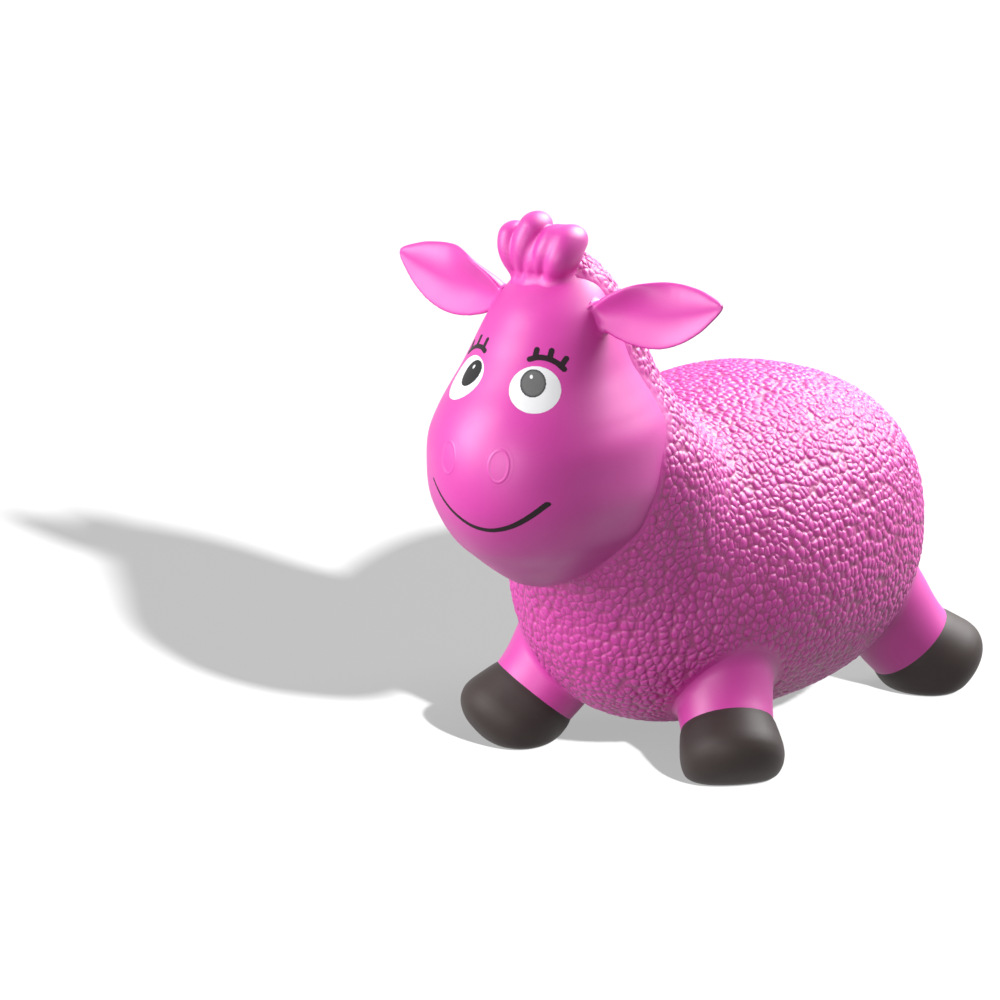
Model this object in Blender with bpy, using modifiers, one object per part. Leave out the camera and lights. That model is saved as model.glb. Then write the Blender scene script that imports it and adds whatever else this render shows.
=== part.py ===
# Inflated ride-on hopper sheep: one air-filled rubber skin, split where it bends.
# +Z is up, the sheep faces -Y, its left side is +X, and the floor is z = 0.
import math

import bmesh
import bpy
from mathutils import Matrix, Vector

# Fits and finishes, in metres like every length here
WALL = 0.003
GAP = 0.0003
SWING_GAP = 0.0004
HIP_CLEARANCE = 0.0026
OVERRUN = 0.004
PAINT_THICKNESS = 0.0006
MERGE_DISTANCE = 0.00005

# Hooves: a dome, swollen past the ankle and pressed flat on the floor
HOOF_RADIUS = 0.0385
HOOF_FLATTENING = 0.0085
HOOF_CENTRE_HEIGHT = HOOF_RADIUS - HOOF_FLATTENING
HOOF_ROLL_SHARE = 0.333
HOOF_SWELL_SHARE = 0.62
HOOF_DOME_STEPS = 4

# Legs: four alike, each on an axis that leans out from its pivot in the belly.
# Each pair's row is its name, its pivots along and across the torso, and the way they point
LEG_LENGTH = 0.070
LEG_LEAN = math.radians(40)
LEG_RING_SHARE = 0.40
LEG_HOOF_LINE_SHARE = 0.2071
LEG_RING_DROP = LEG_LENGTH * LEG_RING_SHARE
HOOF_LINE_ABOVE_CENTRE = LEG_LENGTH * LEG_HOOF_LINE_SHARE
LEG_RING_RADIUS = 0.0365
LEG_ANKLE_RADIUS = 0.034
LEG_THIGH_RADIUS = 0.0452
LEG_SIDES = 24
BALL_PROUD = 0.0002
BALL_SIDES = 32
BALL_TWIST_SHARE = 0.37
LEG_PIVOT_HEIGHT = HOOF_CENTRE_HEIGHT + LEG_LENGTH * math.cos(LEG_LEAN)
LEG_SHARES = (
    ("front", -0.4467, 0.4624, math.radians(-47)),
    ("rear", 0.6427, 0.4760, math.radians(50)),
)

# Torso: a barrel along Y, carried by the leg pivots with its belly just off the floor
TORSO_HALF_LENGTH = 0.186
TORSO_MIDDLE_Y = 0.058
TORSO_HEIGHT_RADIUS = 0.1225
TORSO_WIDTH_RADIUS = 0.130
TORSO_PIVOT_DROP_SHARE = 0.4357
TORSO_MIDDLE_HEIGHT = LEG_PIVOT_HEIGHT + TORSO_HEIGHT_RADIUS * TORSO_PIVOT_DROP_SHARE
CHEST_Y = TORSO_MIDDLE_Y - TORSO_HALF_LENGTH
TORSO_SQUARENESS = 2.5
TORSO_CHEST_NARROWING_SHARE = 0.22
TORSO_RINGS = 16
TORSO_SIDES = 36

# Head: a pear standing on its broad muzzle, each row is height share, front share, back share, width share
HEAD_AHEAD_OF_CHEST = 0.037
HEAD_BOTTOM_ABOVE_MIDDLE = 0.024
HEAD_HEIGHT = 0.245
HEAD_HALF_WIDTH = 0.0822
HEAD_HALF_DEPTH = 0.107
HEAD_MIDDLE_Y = CHEST_Y - HEAD_AHEAD_OF_CHEST
HEAD_BOTTOM_HEIGHT = TORSO_MIDDLE_HEIGHT + HEAD_BOTTOM_ABOVE_MIDDLE
HEAD_SIDES = 40
HEAD_STEPS = 1
HEAD_SHARES = (
    (0.000, 0.02, 0.02, 0.00),
    (0.012, 0.18, 0.22, 0.17),
    (0.045, 0.36, 0.46, 0.36),
    (0.118, 0.60, 0.76, 0.62),
    (0.184, 0.78, 0.94, 0.81),
    (0.253, 0.90, 1.04, 0.91),
    (0.320, 0.97, 1.08, 0.98),
    (0.412, 1.00, 1.08, 1.00),
    (0.502, 0.98, 1.01, 0.98),
    (0.567, 0.93, 0.92, 0.91),
    (0.629, 0.84, 0.82, 0.83),
    (0.690, 0.71, 0.71, 0.74),
    (0.750, 0.59, 0.63, 0.66),
    (0.829, 0.45, 0.56, 0.575),
    (0.894, 0.31, 0.50, 0.485),
    (0.951, 0.13, 0.42, 0.36),
    (0.985, -0.02, 0.30, 0.19),
    (1.000, -0.13, 0.13, 0.00),
)

# Neck: a column behind the face, each row is height share, back share, half width share, half depth share
NECK_BOTTOM_BELOW_MIDDLE = 0.007
NECK_ABOVE_HEAD = 0.010
NECK_BEHIND_CHEST = 0.068
NECK_TOP_BEHIND_HEAD = 0.015
NECK_WIDTH_SHARE = 1.095
NECK_HALF_WIDTH = HEAD_HALF_WIDTH * NECK_WIDTH_SHARE
NECK_BOTTOM_HEIGHT = TORSO_MIDDLE_HEIGHT - NECK_BOTTOM_BELOW_MIDDLE
NECK_HEIGHT = HEAD_BOTTOM_HEIGHT + HEAD_HEIGHT + NECK_ABOVE_HEAD - NECK_BOTTOM_HEIGHT
NECK_MIDDLE_Y = CHEST_Y + NECK_BEHIND_CHEST
NECK_LEAN = NECK_MIDDLE_Y - HEAD_MIDDLE_Y - NECK_TOP_BEHIND_HEAD
NECK_SIDES = 32
NECK_STEPS = 1
NECK_SHARES = (
    (0.000, 0.30, 0.00, 0.00),
    (0.040, 0.30, 0.50, 0.42),
    (0.160, 0.28, 0.88, 0.72),
    (0.300, 0.34, 1.00, 0.88),
    (0.400, 0.45, 0.98, 0.92),
    (0.520, 0.60, 0.82, 0.82),
    (0.620, 0.71, 0.68, 0.69),
    (0.740, 0.76, 0.56, 0.57),
    (0.820, 0.79, 0.49, 0.49),
    (0.920, 0.88, 0.37, 0.37),
    (0.975, 0.94, 0.20, 0.20),
    (1.000, 0.95, 0.00, 0.00),
)

# Ears: a cupped leaf on a ball root, each row is length share and width share
EAR_ACROSS_SHARE = 0.517
EAR_BEHIND_SHARE = 0.0467
EAR_HEIGHT_SHARE = 0.8816
EAR_LENGTH = 0.100
EAR_WIDTH = 0.051
EAR_THICKNESS = 0.011
EAR_CUP_DEPTH = 0.008
EAR_SAG = 0.005
EAR_ROOT_RADIUS = 0.013
EAR_SWEEP = math.radians(8)
EAR_RISE = math.radians(8)
EAR_SIDES = 16
EAR_STEPS = 1
EAR_SHARES = (
    (0.165, 0.52),
    (0.23, 0.79),
    (0.33, 0.97),
    (0.48, 1.00),
    (0.64, 0.88),
    (0.79, 0.66),
    (0.92, 0.36),
    (0.98, 0.16),
)
ROOT_BALL_STEPS = 7
ROOT_BALL_STEPS_KEPT = 4

# Tail: a short drop on a ball root, low on the rump
TAIL_RISE_SHARE = 0.392
TAIL_PIVOT_INSET = 0.001
TAIL_LENGTH = 0.036
TAIL_RADIUS = 0.011
TAIL_ROOT_RADIUS = 0.008
TAIL_DROOP = math.radians(12)
TAIL_SIDES = 12
TAIL_SHARES = ((0.22, 0.55), (0.34, 0.78), (0.52, 1.00), (0.70, 0.96), (0.86, 0.68), (0.96, 0.34))

# Forelock: curls fanned over the brow, each row is name, across, up, half width, half length, lean
FORELOCK_AHEAD_SHARE = 0.028
FORELOCK_BASE_SHARE = 0.9388
FORELOCK_HALF_WIDTH = 0.041
FORELOCK_HEIGHT = 0.056
FORELOCK_HALF_DEPTH = 0.019
FORELOCK_SIDES = 14
FORELOCK_SHARES = (
    ("centre", -0.30, 0.52, 0.33, 0.49, math.radians(19)),
    ("left", 0.50, 0.44, 0.38, 0.44, math.radians(16)),
    ("right", -0.70, 0.46, 0.30, 0.40, math.radians(4)),
    ("middle", 0.10, 0.45, 0.24, 0.44, math.radians(22)),
    ("lower", 0.26, 0.16, 0.16, 0.22, math.radians(8)),
)

# Eyes: painted ovals, each with a pupil and a glint, turned out and up with the brow
EYE_ACROSS_SHARE = 0.3504
EYE_AHEAD_SHARE = 0.5888
EYE_HEIGHT_SHARE = 0.6939
EYE_TURN = math.radians(27)
EYE_RISE = math.radians(20)
EYE_HALF_WIDTH = 0.0190
EYE_HALF_HEIGHT = 0.0178
PUPIL_WIDTH_SHARE = 0.5105
PUPIL_HEIGHT_SHARE = 0.6067
LEFT_PUPIL_ACROSS_SHARE = -0.079
RIGHT_PUPIL_ACROSS_SHARE = 0.263
PUPIL_UP_SHARE = 0.2697
GLINT_SHARE = 0.165
GLINT_ACROSS_SHARE = -0.155
GLINT_UP_SHARE = 0.444
OVAL_SIDES = 32

# Lashes: a bar over the eye with three spikes, in shares of the eye's half width and half height
LASH_WIDTH = 0.0030
LASH_BAR_SHARES = ((-0.30, 1.30), (0.30, 1.40), (0.78, 1.22), (1.12, 0.90))
LASH_SPIKE_SHARES = (
    ((-0.18, 1.32), (0.00, 1.82)),
    ((0.42, 1.36), (0.58, 1.82)),
    ((0.90, 1.12), (1.16, 1.50)),
)

# Mouth: a painted smile, in shares of its half width and its rise, which are shares of the head's
MOUTH_WIDTH_SHARE = 0.657
MOUTH_RISE_SHARE = 0.0898
MOUTH_HEIGHT_SHARE = 0.2776
MOUTH_LINE_WIDTH = 0.0032
MOUTH_SHARES = ((0.94, 0.98), (0.76, 0.58), (0.52, 0.20), (0.22, 0.00), (0.00, 0.06), (-0.25, 0.34),
                (-0.50, 0.78), (-0.74, 1.34))

# Nostrils: a low oval rim each side of the nose
NOSTRIL_ACROSS_SHARE = 0.2616
NOSTRIL_HEIGHT_SHARE = 0.4845
NOSTRIL_HALF_WIDTH = 0.0076
NOSTRIL_HALF_HEIGHT = 0.0124
NOSTRIL_RIM_WIDTH = 0.0016

# Face cutters start this far in front of the nose
FACE_REACH = 0.060

# Air valve low on the rump: a moulded seat let into the skin, and the stopper that fills it
VALVE_RISE_SHARE = -0.302
VALVE_SINK = 0.0012
VALVE_BORE_RADIUS = 0.0045
VALVE_BODY_RADIUS = 0.0080
VALVE_FLANGE_RADIUS = 0.0120
VALVE_FLANGE_THICKNESS = 0.0020
VALVE_BODY_DEPTH = 0.0100
PLUG_CAP_RADIUS = 0.0085
PLUG_CAP_THICKNESS = 0.0018
PLUG_STEM_LENGTH = 0.0130
PLUG_TIP_RADIUS = 0.0032
VALVE_EDGE = 0.0004
VALVE_SIDES = 32

# Paint and rubber: red, green, blue, roughness
PINK = (0.76, 0.125, 0.46, 0.42)
FACE_PINK = (0.80, 0.145, 0.50, 0.38)
HOOF_BLACK = (0.028, 0.022, 0.022, 0.55)
EYE_WHITE = (0.92, 0.92, 0.92, 0.35)
PUPIL_BLACK = (0.012, 0.012, 0.014, 0.25)
LASH_BLACK = (0.010, 0.009, 0.011, 0.45)
VALVE_CREAM = (0.78, 0.74, 0.70, 0.40)


# Scene, collections and materials
def clear_scene():
    for old in list(bpy.data.objects):
        bpy.data.objects.remove(old)


def new_collection(name):
    group = bpy.data.collections.new(name)
    bpy.context.scene.collection.children.link(group)
    return group


def make_material(name, paint):
    material = bpy.data.materials.new(name)
    material.use_nodes = True
    shader = material.node_tree.nodes["Principled BSDF"]
    shader.inputs["Base Color"].default_value = (*paint[:3], 1.0)
    shader.inputs["Roughness"].default_value = paint[3]
    shader.inputs["Metallic"].default_value = 0.0
    return material


def add_part(name, mesh, paint, place=None, rotation=None):
    part = bpy.data.objects.new(name, mesh.copy())
    part.data.name = name
    part.data.materials.clear()
    part.data.materials.append(make_material(name, paint))
    PARTS.objects.link(part)
    set_place(part, place, rotation)
    return part


def add_cutter(name, mesh, place=None, rotation=None):
    cutter = bpy.data.objects.new(name, mesh)
    cutter.hide_render = True
    cutter.display_type = "WIRE"
    CUTTERS.objects.link(cutter)
    set_place(cutter, place, rotation)
    return cutter


def set_place(thing, place, rotation):
    if place is not None:
        thing.location = place
    if rotation is not None:
        thing.rotation_euler = rotation


def boolean(target, operation, *tools):
    for tool in tools:
        step = target.modifiers.new(operation.lower() + " " + tool.name, "BOOLEAN")
        step.operation = operation
        step.object = tool


# Mesh makers
def loft_mesh(name, rings):
    mesh = bpy.data.meshes.new(name)
    shape = bmesh.new()
    rows = [[shape.verts.new(point) for point in ring] for ring in rings]
    for low, high in zip(rows, rows[1:]):
        for side in range(max(len(low), len(high))):
            corners = [low[side % len(low)], low[(side + 1) % len(low)],
                       high[(side + 1) % len(high)], high[side % len(high)]]
            shape.faces.new(list(dict.fromkeys(corners)))
    for end in (rows[0], rows[-1]):
        if len(end) > 1:
            shape.faces.new(end)
    bmesh.ops.recalc_face_normals(shape, faces=shape.faces)
    shape.to_mesh(mesh)
    shape.free()
    mesh.shade_smooth()
    return mesh


def oval_ring(centre, across, up, sides):
    if across.length == 0:
        return [centre]
    turns = [math.tau * side / sides for side in range(sides)]
    return [centre + across * math.cos(turn) + up * math.sin(turn) for turn in turns]


def between_rows(rows, steps):
    finer = []
    for place in range(len(rows) - 1):
        before = rows[max(place - 1, 0)]
        start = rows[place]
        end = rows[place + 1]
        after = rows[min(place + 2, len(rows) - 1)]
        for step in range(steps):
            t = step / steps
            finer.append(tuple(
                0.5 * (2 * b + (c - a) * t + (2 * a - 5 * b + 4 * c - d) * t ** 2
                       + (3 * b - a - 3 * c + d) * t ** 3)
                for a, b, c, d in zip(before, start, end, after)))
    finer.append(rows[-1])
    return finer


def offset_mesh(mesh, distance, name):
    grown = mesh.copy()
    grown.name = name
    shape = bmesh.new()
    shape.from_mesh(grown)
    shape.normal_update()
    moves = [vertex.normal * distance for vertex in shape.verts]
    for vertex, move in zip(shape.verts, moves):
        vertex.co += move
    shape.to_mesh(grown)
    shape.free()
    return grown


def socket_radius(ball_radius, sides):
    return (ball_radius + SWING_GAP) / math.cos(math.pi / sides) ** 2


def rump_place(rise):
    along = (1 - abs(rise) ** TORSO_SQUARENESS) ** (1 / TORSO_SQUARENESS)
    slope = -math.copysign(abs(rise / along) ** (TORSO_SQUARENESS - 1), rise)
    height = TORSO_MIDDLE_HEIGHT + TORSO_HEIGHT_RADIUS * rise
    place = Vector((0.0, TORSO_MIDDLE_Y + TORSO_HALF_LENGTH * along, height))
    tilt = math.atan(-slope * TORSO_HALF_LENGTH / TORSO_HEIGHT_RADIUS)
    return place, Vector((0.0, math.cos(tilt), math.sin(tilt)))


def ball_mesh(name, radius, sides=BALL_SIDES):
    mesh = bpy.data.meshes.new(name)
    shape = bmesh.new()
    bmesh.ops.create_uvsphere(shape, u_segments=sides, v_segments=sides // 2, radius=radius)
    twist = Matrix.Rotation(BALL_TWIST_SHARE * math.tau / sides, 3, "Z")
    bmesh.ops.rotate(shape, verts=shape.verts, matrix=twist)
    shape.to_mesh(mesh)
    shape.free()
    mesh.shade_smooth()
    return mesh


# A profile runs from its highest point down, so that the turned faces point outwards
def profile_mesh(name, profile):
    mesh = bpy.data.meshes.new(name)
    looped = profile[0] == profile[-1]
    points = profile[:-1] if looped else profile
    edges = [(place, (place + 1) % len(points)) for place in range(len(profile) - 1)]
    mesh.from_pydata([(radius, 0.0, height) for height, radius in points], edges, [])
    return mesh


def turn_round(thing, sides):
    step = thing.modifiers.new("turn", "SCREW")
    step.axis = "Z"
    step.steps = step.render_steps = sides
    step.use_merge_vertices = True
    step.merge_threshold = MERGE_DISTANCE
    step.use_smooth_shade = True
    return thing


def head_place(across, ahead, rise):
    return Vector((HEAD_HALF_WIDTH * across, HEAD_MIDDLE_Y - HEAD_HALF_DEPTH * ahead,
                   HEAD_BOTTOM_HEIGHT + HEAD_HEIGHT * rise))


def oval_prism(name, half_width, half_height, depth, centre=(0.0, 0.0)):
    rings = [oval_ring(Vector((centre[0], side, centre[1])), Vector((half_width, 0, 0)),
                       Vector((0, 0, half_height)), OVAL_SIDES) for side in (-depth, depth)]
    return loft_mesh(name, rings)


def stroke_prism(name, points, width, depth):
    mesh = bpy.data.meshes.new(name)
    shape = bmesh.new()
    half = width / 2
    left, right = [], []
    for place, point in enumerate(points):
        before = Vector(points[max(place - 1, 0)])
        after = Vector(points[min(place + 1, len(points) - 1)])
        along = (after - before).normalized()
        aside = Vector((-along.y, along.x)) * half
        left.append(Vector(point) + aside)
        right.append(Vector(point) - aside)
    outline = left + right[::-1]
    front = [shape.verts.new((point.x, -depth, point.y)) for point in outline]
    back = [shape.verts.new((point.x, depth, point.y)) for point in outline]
    last = len(outline) - 1
    for side in range(len(outline)):
        follow = (side + 1) % len(outline)
        shape.faces.new((front[side], front[follow], back[follow], back[side]))
    for row in (front, back):
        for side in range(len(points) - 1):
            shape.faces.new((row[side], row[side + 1], row[last - side - 1], row[last - side]))
    bmesh.ops.recalc_face_normals(shape, faces=shape.faces)
    shape.to_mesh(mesh)
    shape.free()
    return mesh


# Body forms: every skin is its outer form less the same form moved in by the wall
def torso_form():
    rings = []
    for place in range(TORSO_RINGS + 1):
        turn = math.pi * place / TORSO_RINGS
        along = math.copysign(abs(math.cos(turn)) ** (2 / TORSO_SQUARENESS), -math.cos(turn))
        swell = 0.0 if place in (0, TORSO_RINGS) else math.sin(turn) ** (2 / TORSO_SQUARENESS)
        narrowing = 1 - TORSO_CHEST_NARROWING_SHARE * max(-along, 0.0) ** 2
        centre = Vector((0, TORSO_MIDDLE_Y + TORSO_HALF_LENGTH * along, TORSO_MIDDLE_HEIGHT))
        rings.append(oval_ring(centre, Vector((TORSO_WIDTH_RADIUS * swell * narrowing, 0, 0)),
                               Vector((0, 0, TORSO_HEIGHT_RADIUS * swell)), TORSO_SIDES))
    return loft_mesh("torso form", rings)


def neck_form():
    rings = []
    for height, lean, wide, deep in between_rows(NECK_SHARES, NECK_STEPS):
        centre = Vector((0, NECK_MIDDLE_Y - NECK_LEAN * lean, NECK_BOTTOM_HEIGHT + NECK_HEIGHT * height))
        rings.append(oval_ring(centre, Vector((NECK_HALF_WIDTH * wide, 0, 0)),
                               Vector((0, NECK_HALF_WIDTH * deep, 0)), NECK_SIDES))
    return loft_mesh("neck form", rings)


def head_form():
    rings = []
    for height, front, back, wide in between_rows(HEAD_SHARES, HEAD_STEPS):
        nose = HEAD_MIDDLE_Y - HEAD_HALF_DEPTH * front
        nape = HEAD_MIDDLE_Y + HEAD_HALF_DEPTH * back
        centre = Vector((0, (nose + nape) / 2, HEAD_BOTTOM_HEIGHT + HEAD_HEIGHT * height))
        rings.append(oval_ring(centre, Vector((HEAD_HALF_WIDTH * wide, 0, 0)),
                               Vector((0, (nape - nose) / 2, 0)), HEAD_SIDES))
    return loft_mesh("head form", rings)


def leg_profile(inset):
    hoof_line = HOOF_LINE_ABOVE_CENTRE - LEG_LENGTH
    ring = -LEG_RING_DROP
    top = 0.0 if inset == 0 else OVERRUN
    bottom = hoof_line + GAP if inset == 0 else hoof_line - OVERRUN
    profile = [
        (top, LEG_THIGH_RADIUS),
        (ring / 2, (LEG_THIGH_RADIUS + LEG_RING_RADIUS) / 2 + SWING_GAP),
        (ring, LEG_RING_RADIUS),
        ((ring + hoof_line) / 2, LEG_ANKLE_RADIUS + (LEG_RING_RADIUS - LEG_ANKLE_RADIUS) / 4),
        (bottom, LEG_ANKLE_RADIUS),
    ]
    profile = [(height, radius - inset) for height, radius in profile]
    return [(top, 0.0)] + profile + [(bottom, 0.0)]


def hoof_profile(inset):
    centre = -LEG_LENGTH
    line = centre + HOOF_LINE_ABOVE_CENTRE
    swell = LEG_ANKLE_RADIUS + (HOOF_RADIUS - LEG_ANKLE_RADIUS) * HOOF_SWELL_SHARE
    top = line if inset == 0 else line + OVERRUN
    profile = [(top, 0.0)]
    if inset > 0:
        profile.append((top, LEG_ANKLE_RADIUS - inset))
    profile.append((line, LEG_ANKLE_RADIUS - inset))
    profile.append((line - HOOF_LINE_ABOVE_CENTRE * HOOF_ROLL_SHARE, swell - inset))
    for step in range(HOOF_DOME_STEPS):
        turn = math.pi / 2 * step / HOOF_DOME_STEPS
        dome = HOOF_RADIUS - inset
        profile.append((centre - dome * math.sin(turn), dome * math.cos(turn)))
    profile.append((centre - HOOF_RADIUS + inset, 0.0))
    return profile


def leaf_mesh(name, table, length, width, thickness, cup, sag, root, sides, steps):
    rings = [[Vector((-root, 0, 0))]]
    for step in range(1, ROOT_BALL_STEPS_KEPT + 1):
        turn = math.pi * step / ROOT_BALL_STEPS
        reach = Vector((-root * math.cos(turn), 0, 0))
        rings.append(oval_ring(reach, Vector((0, root * math.sin(turn), 0)),
                               Vector((0, 0, root * math.sin(turn))), sides))
    for along, wide in between_rows(table, steps):
        half = width / 2 * wide
        thin = min(thickness / 2, half)
        ring = oval_ring(Vector((length * along, 0, 0)), Vector((0, thin, 0)), Vector((0, 0, half)), sides)
        bow = cup * math.sin(math.pi * along)
        drop = sag * math.sin(math.pi * along)
        rings.append([point - Vector((0, bow * (point.z / half) ** 2 - bow / 2, drop)) for point in ring])
    rings.append([Vector((length, 0, 0))])
    return loft_mesh(name, rings)


# The parts
def build_torso(forms, legs):
    torso = add_part("torso_skin", forms["torso"], PINK)
    boolean(torso, "UNION", *(leg["root"] for leg in legs))
    boolean(torso, "DIFFERENCE", forms["torso hollow"], *(leg["hollow"] for leg in legs))
    boolean(torso, "DIFFERENCE", forms["head clearance"], forms["neck clearance"])
    boolean(torso, "DIFFERENCE", forms["valve hole"], forms["tail socket"])
    return torso


def build_neck_and_head(forms):
    neck = add_part("neck_skin", forms["neck"], PINK)
    boolean(neck, "DIFFERENCE", forms["neck hollow"], forms["head clearance"], forms["torso hollow"])
    head = add_part("head_skin", forms["head"], FACE_PINK)
    boolean(head, "DIFFERENCE", forms["head hollow"], forms["neck hollow"], forms["torso hollow"])
    for socket in forms["ear sockets"]:
        boolean(neck, "DIFFERENCE", socket)
        boolean(head, "DIFFERENCE", socket)


def leg_places():
    places = []
    for end, along, across, yaw in LEG_SHARES:
        for side, sign, turn in (("left", 1, yaw), ("right", -1, math.pi - yaw)):
            pivot = Vector((sign * TORSO_WIDTH_RADIUS * across, TORSO_MIDDLE_Y + TORSO_HALF_LENGTH * along,
                            LEG_PIVOT_HEIGHT))
            places.append((end + "_" + side, pivot, (0.0, -LEG_LEAN, turn)))
    return places


def build_legs(forms):
    ball = math.hypot(LEG_RING_DROP, LEG_RING_RADIUS) + BALL_PROUD
    leg_mesh = profile_mesh("leg form", leg_profile(0))
    hollow_mesh = profile_mesh("leg hollow", leg_profile(WALL))
    hoof_mesh = profile_mesh("hoof form", hoof_profile(0))
    hoof_hollow_mesh = profile_mesh("hoof hollow", hoof_profile(WALL))
    root_ball = ball_mesh("root ball", ball)
    leg_ball = ball_mesh("leg ball", socket_radius(ball, BALL_SIDES))
    ground = floor_box("ground", 0.0)
    inner_ground = floor_box("inner ground", WALL)
    legs = []
    for name, pivot, rotation in leg_places():
        hollow = turn_round(add_cutter(name + " leg hollow", hollow_mesh, pivot, rotation), LEG_SIDES)
        root = turn_round(add_cutter(name + " root", leg_mesh, pivot, rotation), LEG_SIDES)
        boolean(root, "INTERSECT", add_cutter(name + " root ball", root_ball, pivot, rotation))
        leg = turn_round(add_part(name + "_leg", leg_mesh, FACE_PINK, pivot, rotation), LEG_SIDES)
        boolean(leg, "DIFFERENCE", add_cutter(name + " leg ball", leg_ball, pivot, rotation))
        boolean(leg, "DIFFERENCE", forms["hip clearance"], hollow)
        hoof = turn_round(add_part(name + "_hoof", hoof_mesh, HOOF_BLACK), LEG_SIDES)
        hoof.parent = leg
        hoof_hollow = add_cutter(name + " hoof hollow", hoof_hollow_mesh, pivot, rotation)
        boolean(turn_round(hoof_hollow, LEG_SIDES), "DIFFERENCE", inner_ground)
        boolean(hoof, "DIFFERENCE", hoof_hollow, ground)
        legs.append({"root": root, "hollow": hollow})
    return legs


def floor_box(name, top):
    mesh = bpy.data.meshes.new(name)
    shape = bmesh.new()
    bmesh.ops.create_cube(shape, size=1.0)
    span = 2 * (TORSO_HALF_LENGTH + LEG_LENGTH + HOOF_RADIUS)
    bmesh.ops.scale(shape, vec=(span, span, HOOF_RADIUS), verts=shape.verts)
    shape.to_mesh(mesh)
    shape.free()
    return add_cutter(name, mesh, (0.0, TORSO_MIDDLE_Y, top - HOOF_RADIUS / 2))


def build_ears(forms):
    left_mesh = leaf_mesh("ear form", EAR_SHARES, EAR_LENGTH, EAR_WIDTH, EAR_THICKNESS, EAR_CUP_DEPTH,
                          EAR_SAG, EAR_ROOT_RADIUS, EAR_SIDES, EAR_STEPS)
    right_mesh = left_mesh.copy()
    right_mesh.transform(Matrix.Diagonal((-1.0, 1.0, 1.0, 1.0)))
    right_mesh.flip_normals()
    socket_mesh = ball_mesh("ear socket", socket_radius(EAR_ROOT_RADIUS, EAR_SIDES), EAR_SIDES)
    forms["ear sockets"] = []
    for side, sign, mesh in (("left", 1, left_mesh), ("right", -1, right_mesh)):
        pivot = head_place(sign * EAR_ACROSS_SHARE, -EAR_BEHIND_SHARE, EAR_HEIGHT_SHARE)
        add_part("ear_" + side, mesh, FACE_PINK, pivot, (0.0, -sign * EAR_RISE, sign * EAR_SWEEP))
        forms["ear sockets"].append(add_cutter(side + " ear socket", socket_mesh, pivot))


def build_tail(forms):
    mesh = leaf_mesh("tail form", TAIL_SHARES, TAIL_LENGTH, 2 * TAIL_RADIUS, 2 * TAIL_RADIUS, 0.0,
                     0.0, TAIL_ROOT_RADIUS, TAIL_SIDES, 1)
    surface, outward = rump_place(TAIL_RISE_SHARE)
    pivot = surface - outward * TAIL_PIVOT_INSET
    add_part("tail", mesh, PINK, pivot, (0.0, TAIL_DROOP, math.pi / 2))
    socket_mesh = ball_mesh("tail socket", socket_radius(TAIL_ROOT_RADIUS, TAIL_SIDES), TAIL_SIDES)
    forms["tail socket"] = add_cutter("tail socket", socket_mesh, pivot)


def build_forelock(forms):
    base = head_place(0.0, FORELOCK_AHEAD_SHARE, FORELOCK_BASE_SHARE)
    placed = []
    for name, across, up, wide, tall, lean in FORELOCK_SHARES:
        curl_mesh = ball_mesh("curl form", 1.0, FORELOCK_SIDES)
        size = (FORELOCK_HALF_WIDTH * wide, FORELOCK_HALF_DEPTH, FORELOCK_HEIGHT * tall)
        curl_mesh.transform(Matrix.Diagonal((*size, 1.0)))
        place = base + Vector((FORELOCK_HALF_WIDTH * across, 0.0, FORELOCK_HEIGHT * up))
        curl = add_part("forelock_" + name, curl_mesh, FACE_PINK, place, (0.0, lean, 0.0))
        boolean(curl, "DIFFERENCE", forms["head clearance"], forms["neck clearance"], *placed)
        clearance = offset_mesh(curl_mesh, GAP, "curl clearance")
        placed.append(add_cutter(name + " curl clearance", clearance, place, (0.0, lean, 0.0)))


def paint_patch(name, paint, outline, forms, place, rotation=(0.0, 0.0, 0.0), joined=()):
    patch = add_part(name, outline, paint, place, rotation)
    boolean(patch, "UNION", *joined)
    boolean(patch, "INTERSECT", forms["paint outer"])
    boolean(patch, "DIFFERENCE", forms["paint inner"])
    return patch


def build_eyes(forms):
    pupil_size = (EYE_HALF_WIDTH * PUPIL_WIDTH_SHARE, EYE_HALF_HEIGHT * PUPIL_HEIGHT_SHARE)
    glint_radius = pupil_size[0] * GLINT_SHARE
    for side, sign, across in (("left", 1, LEFT_PUPIL_ACROSS_SHARE), ("right", -1, RIGHT_PUPIL_ACROSS_SHARE)):
        place = head_place(sign * EYE_ACROSS_SHARE, EYE_AHEAD_SHARE, EYE_HEIGHT_SHARE)
        turn = (-EYE_RISE, 0.0, sign * EYE_TURN)
        pupil_at = (EYE_HALF_WIDTH * across, EYE_HALF_HEIGHT * PUPIL_UP_SHARE)
        glint_at = (pupil_at[0] + pupil_size[0] * GLINT_ACROSS_SHARE,
                    pupil_at[1] + pupil_size[1] * GLINT_UP_SHARE)

        def oval(half_width, half_height, centre, margin=0.0):
            return oval_prism("oval", half_width + margin, half_height + margin, FACE_REACH, centre)

        white = paint_patch("eye_white_" + side, EYE_WHITE, oval(EYE_HALF_WIDTH, EYE_HALF_HEIGHT, (0.0, 0.0)),
                            forms, place, turn)
        pupil_room = oval(*pupil_size, pupil_at, GAP)
        boolean(white, "DIFFERENCE", add_cutter(side + " pupil room", pupil_room, place, turn))
        pupil = paint_patch("pupil_" + side, PUPIL_BLACK, oval(*pupil_size, pupil_at), forms, place, turn)
        glint_room = oval(glint_radius, glint_radius, glint_at, GAP)
        boolean(pupil, "DIFFERENCE", add_cutter(side + " glint room", glint_room, place, turn))
        paint_patch("eye_glint_" + side, EYE_WHITE, oval(glint_radius, glint_radius, glint_at),
                    forms, place, turn)
        build_lashes(side, sign, forms, place, turn)


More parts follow.
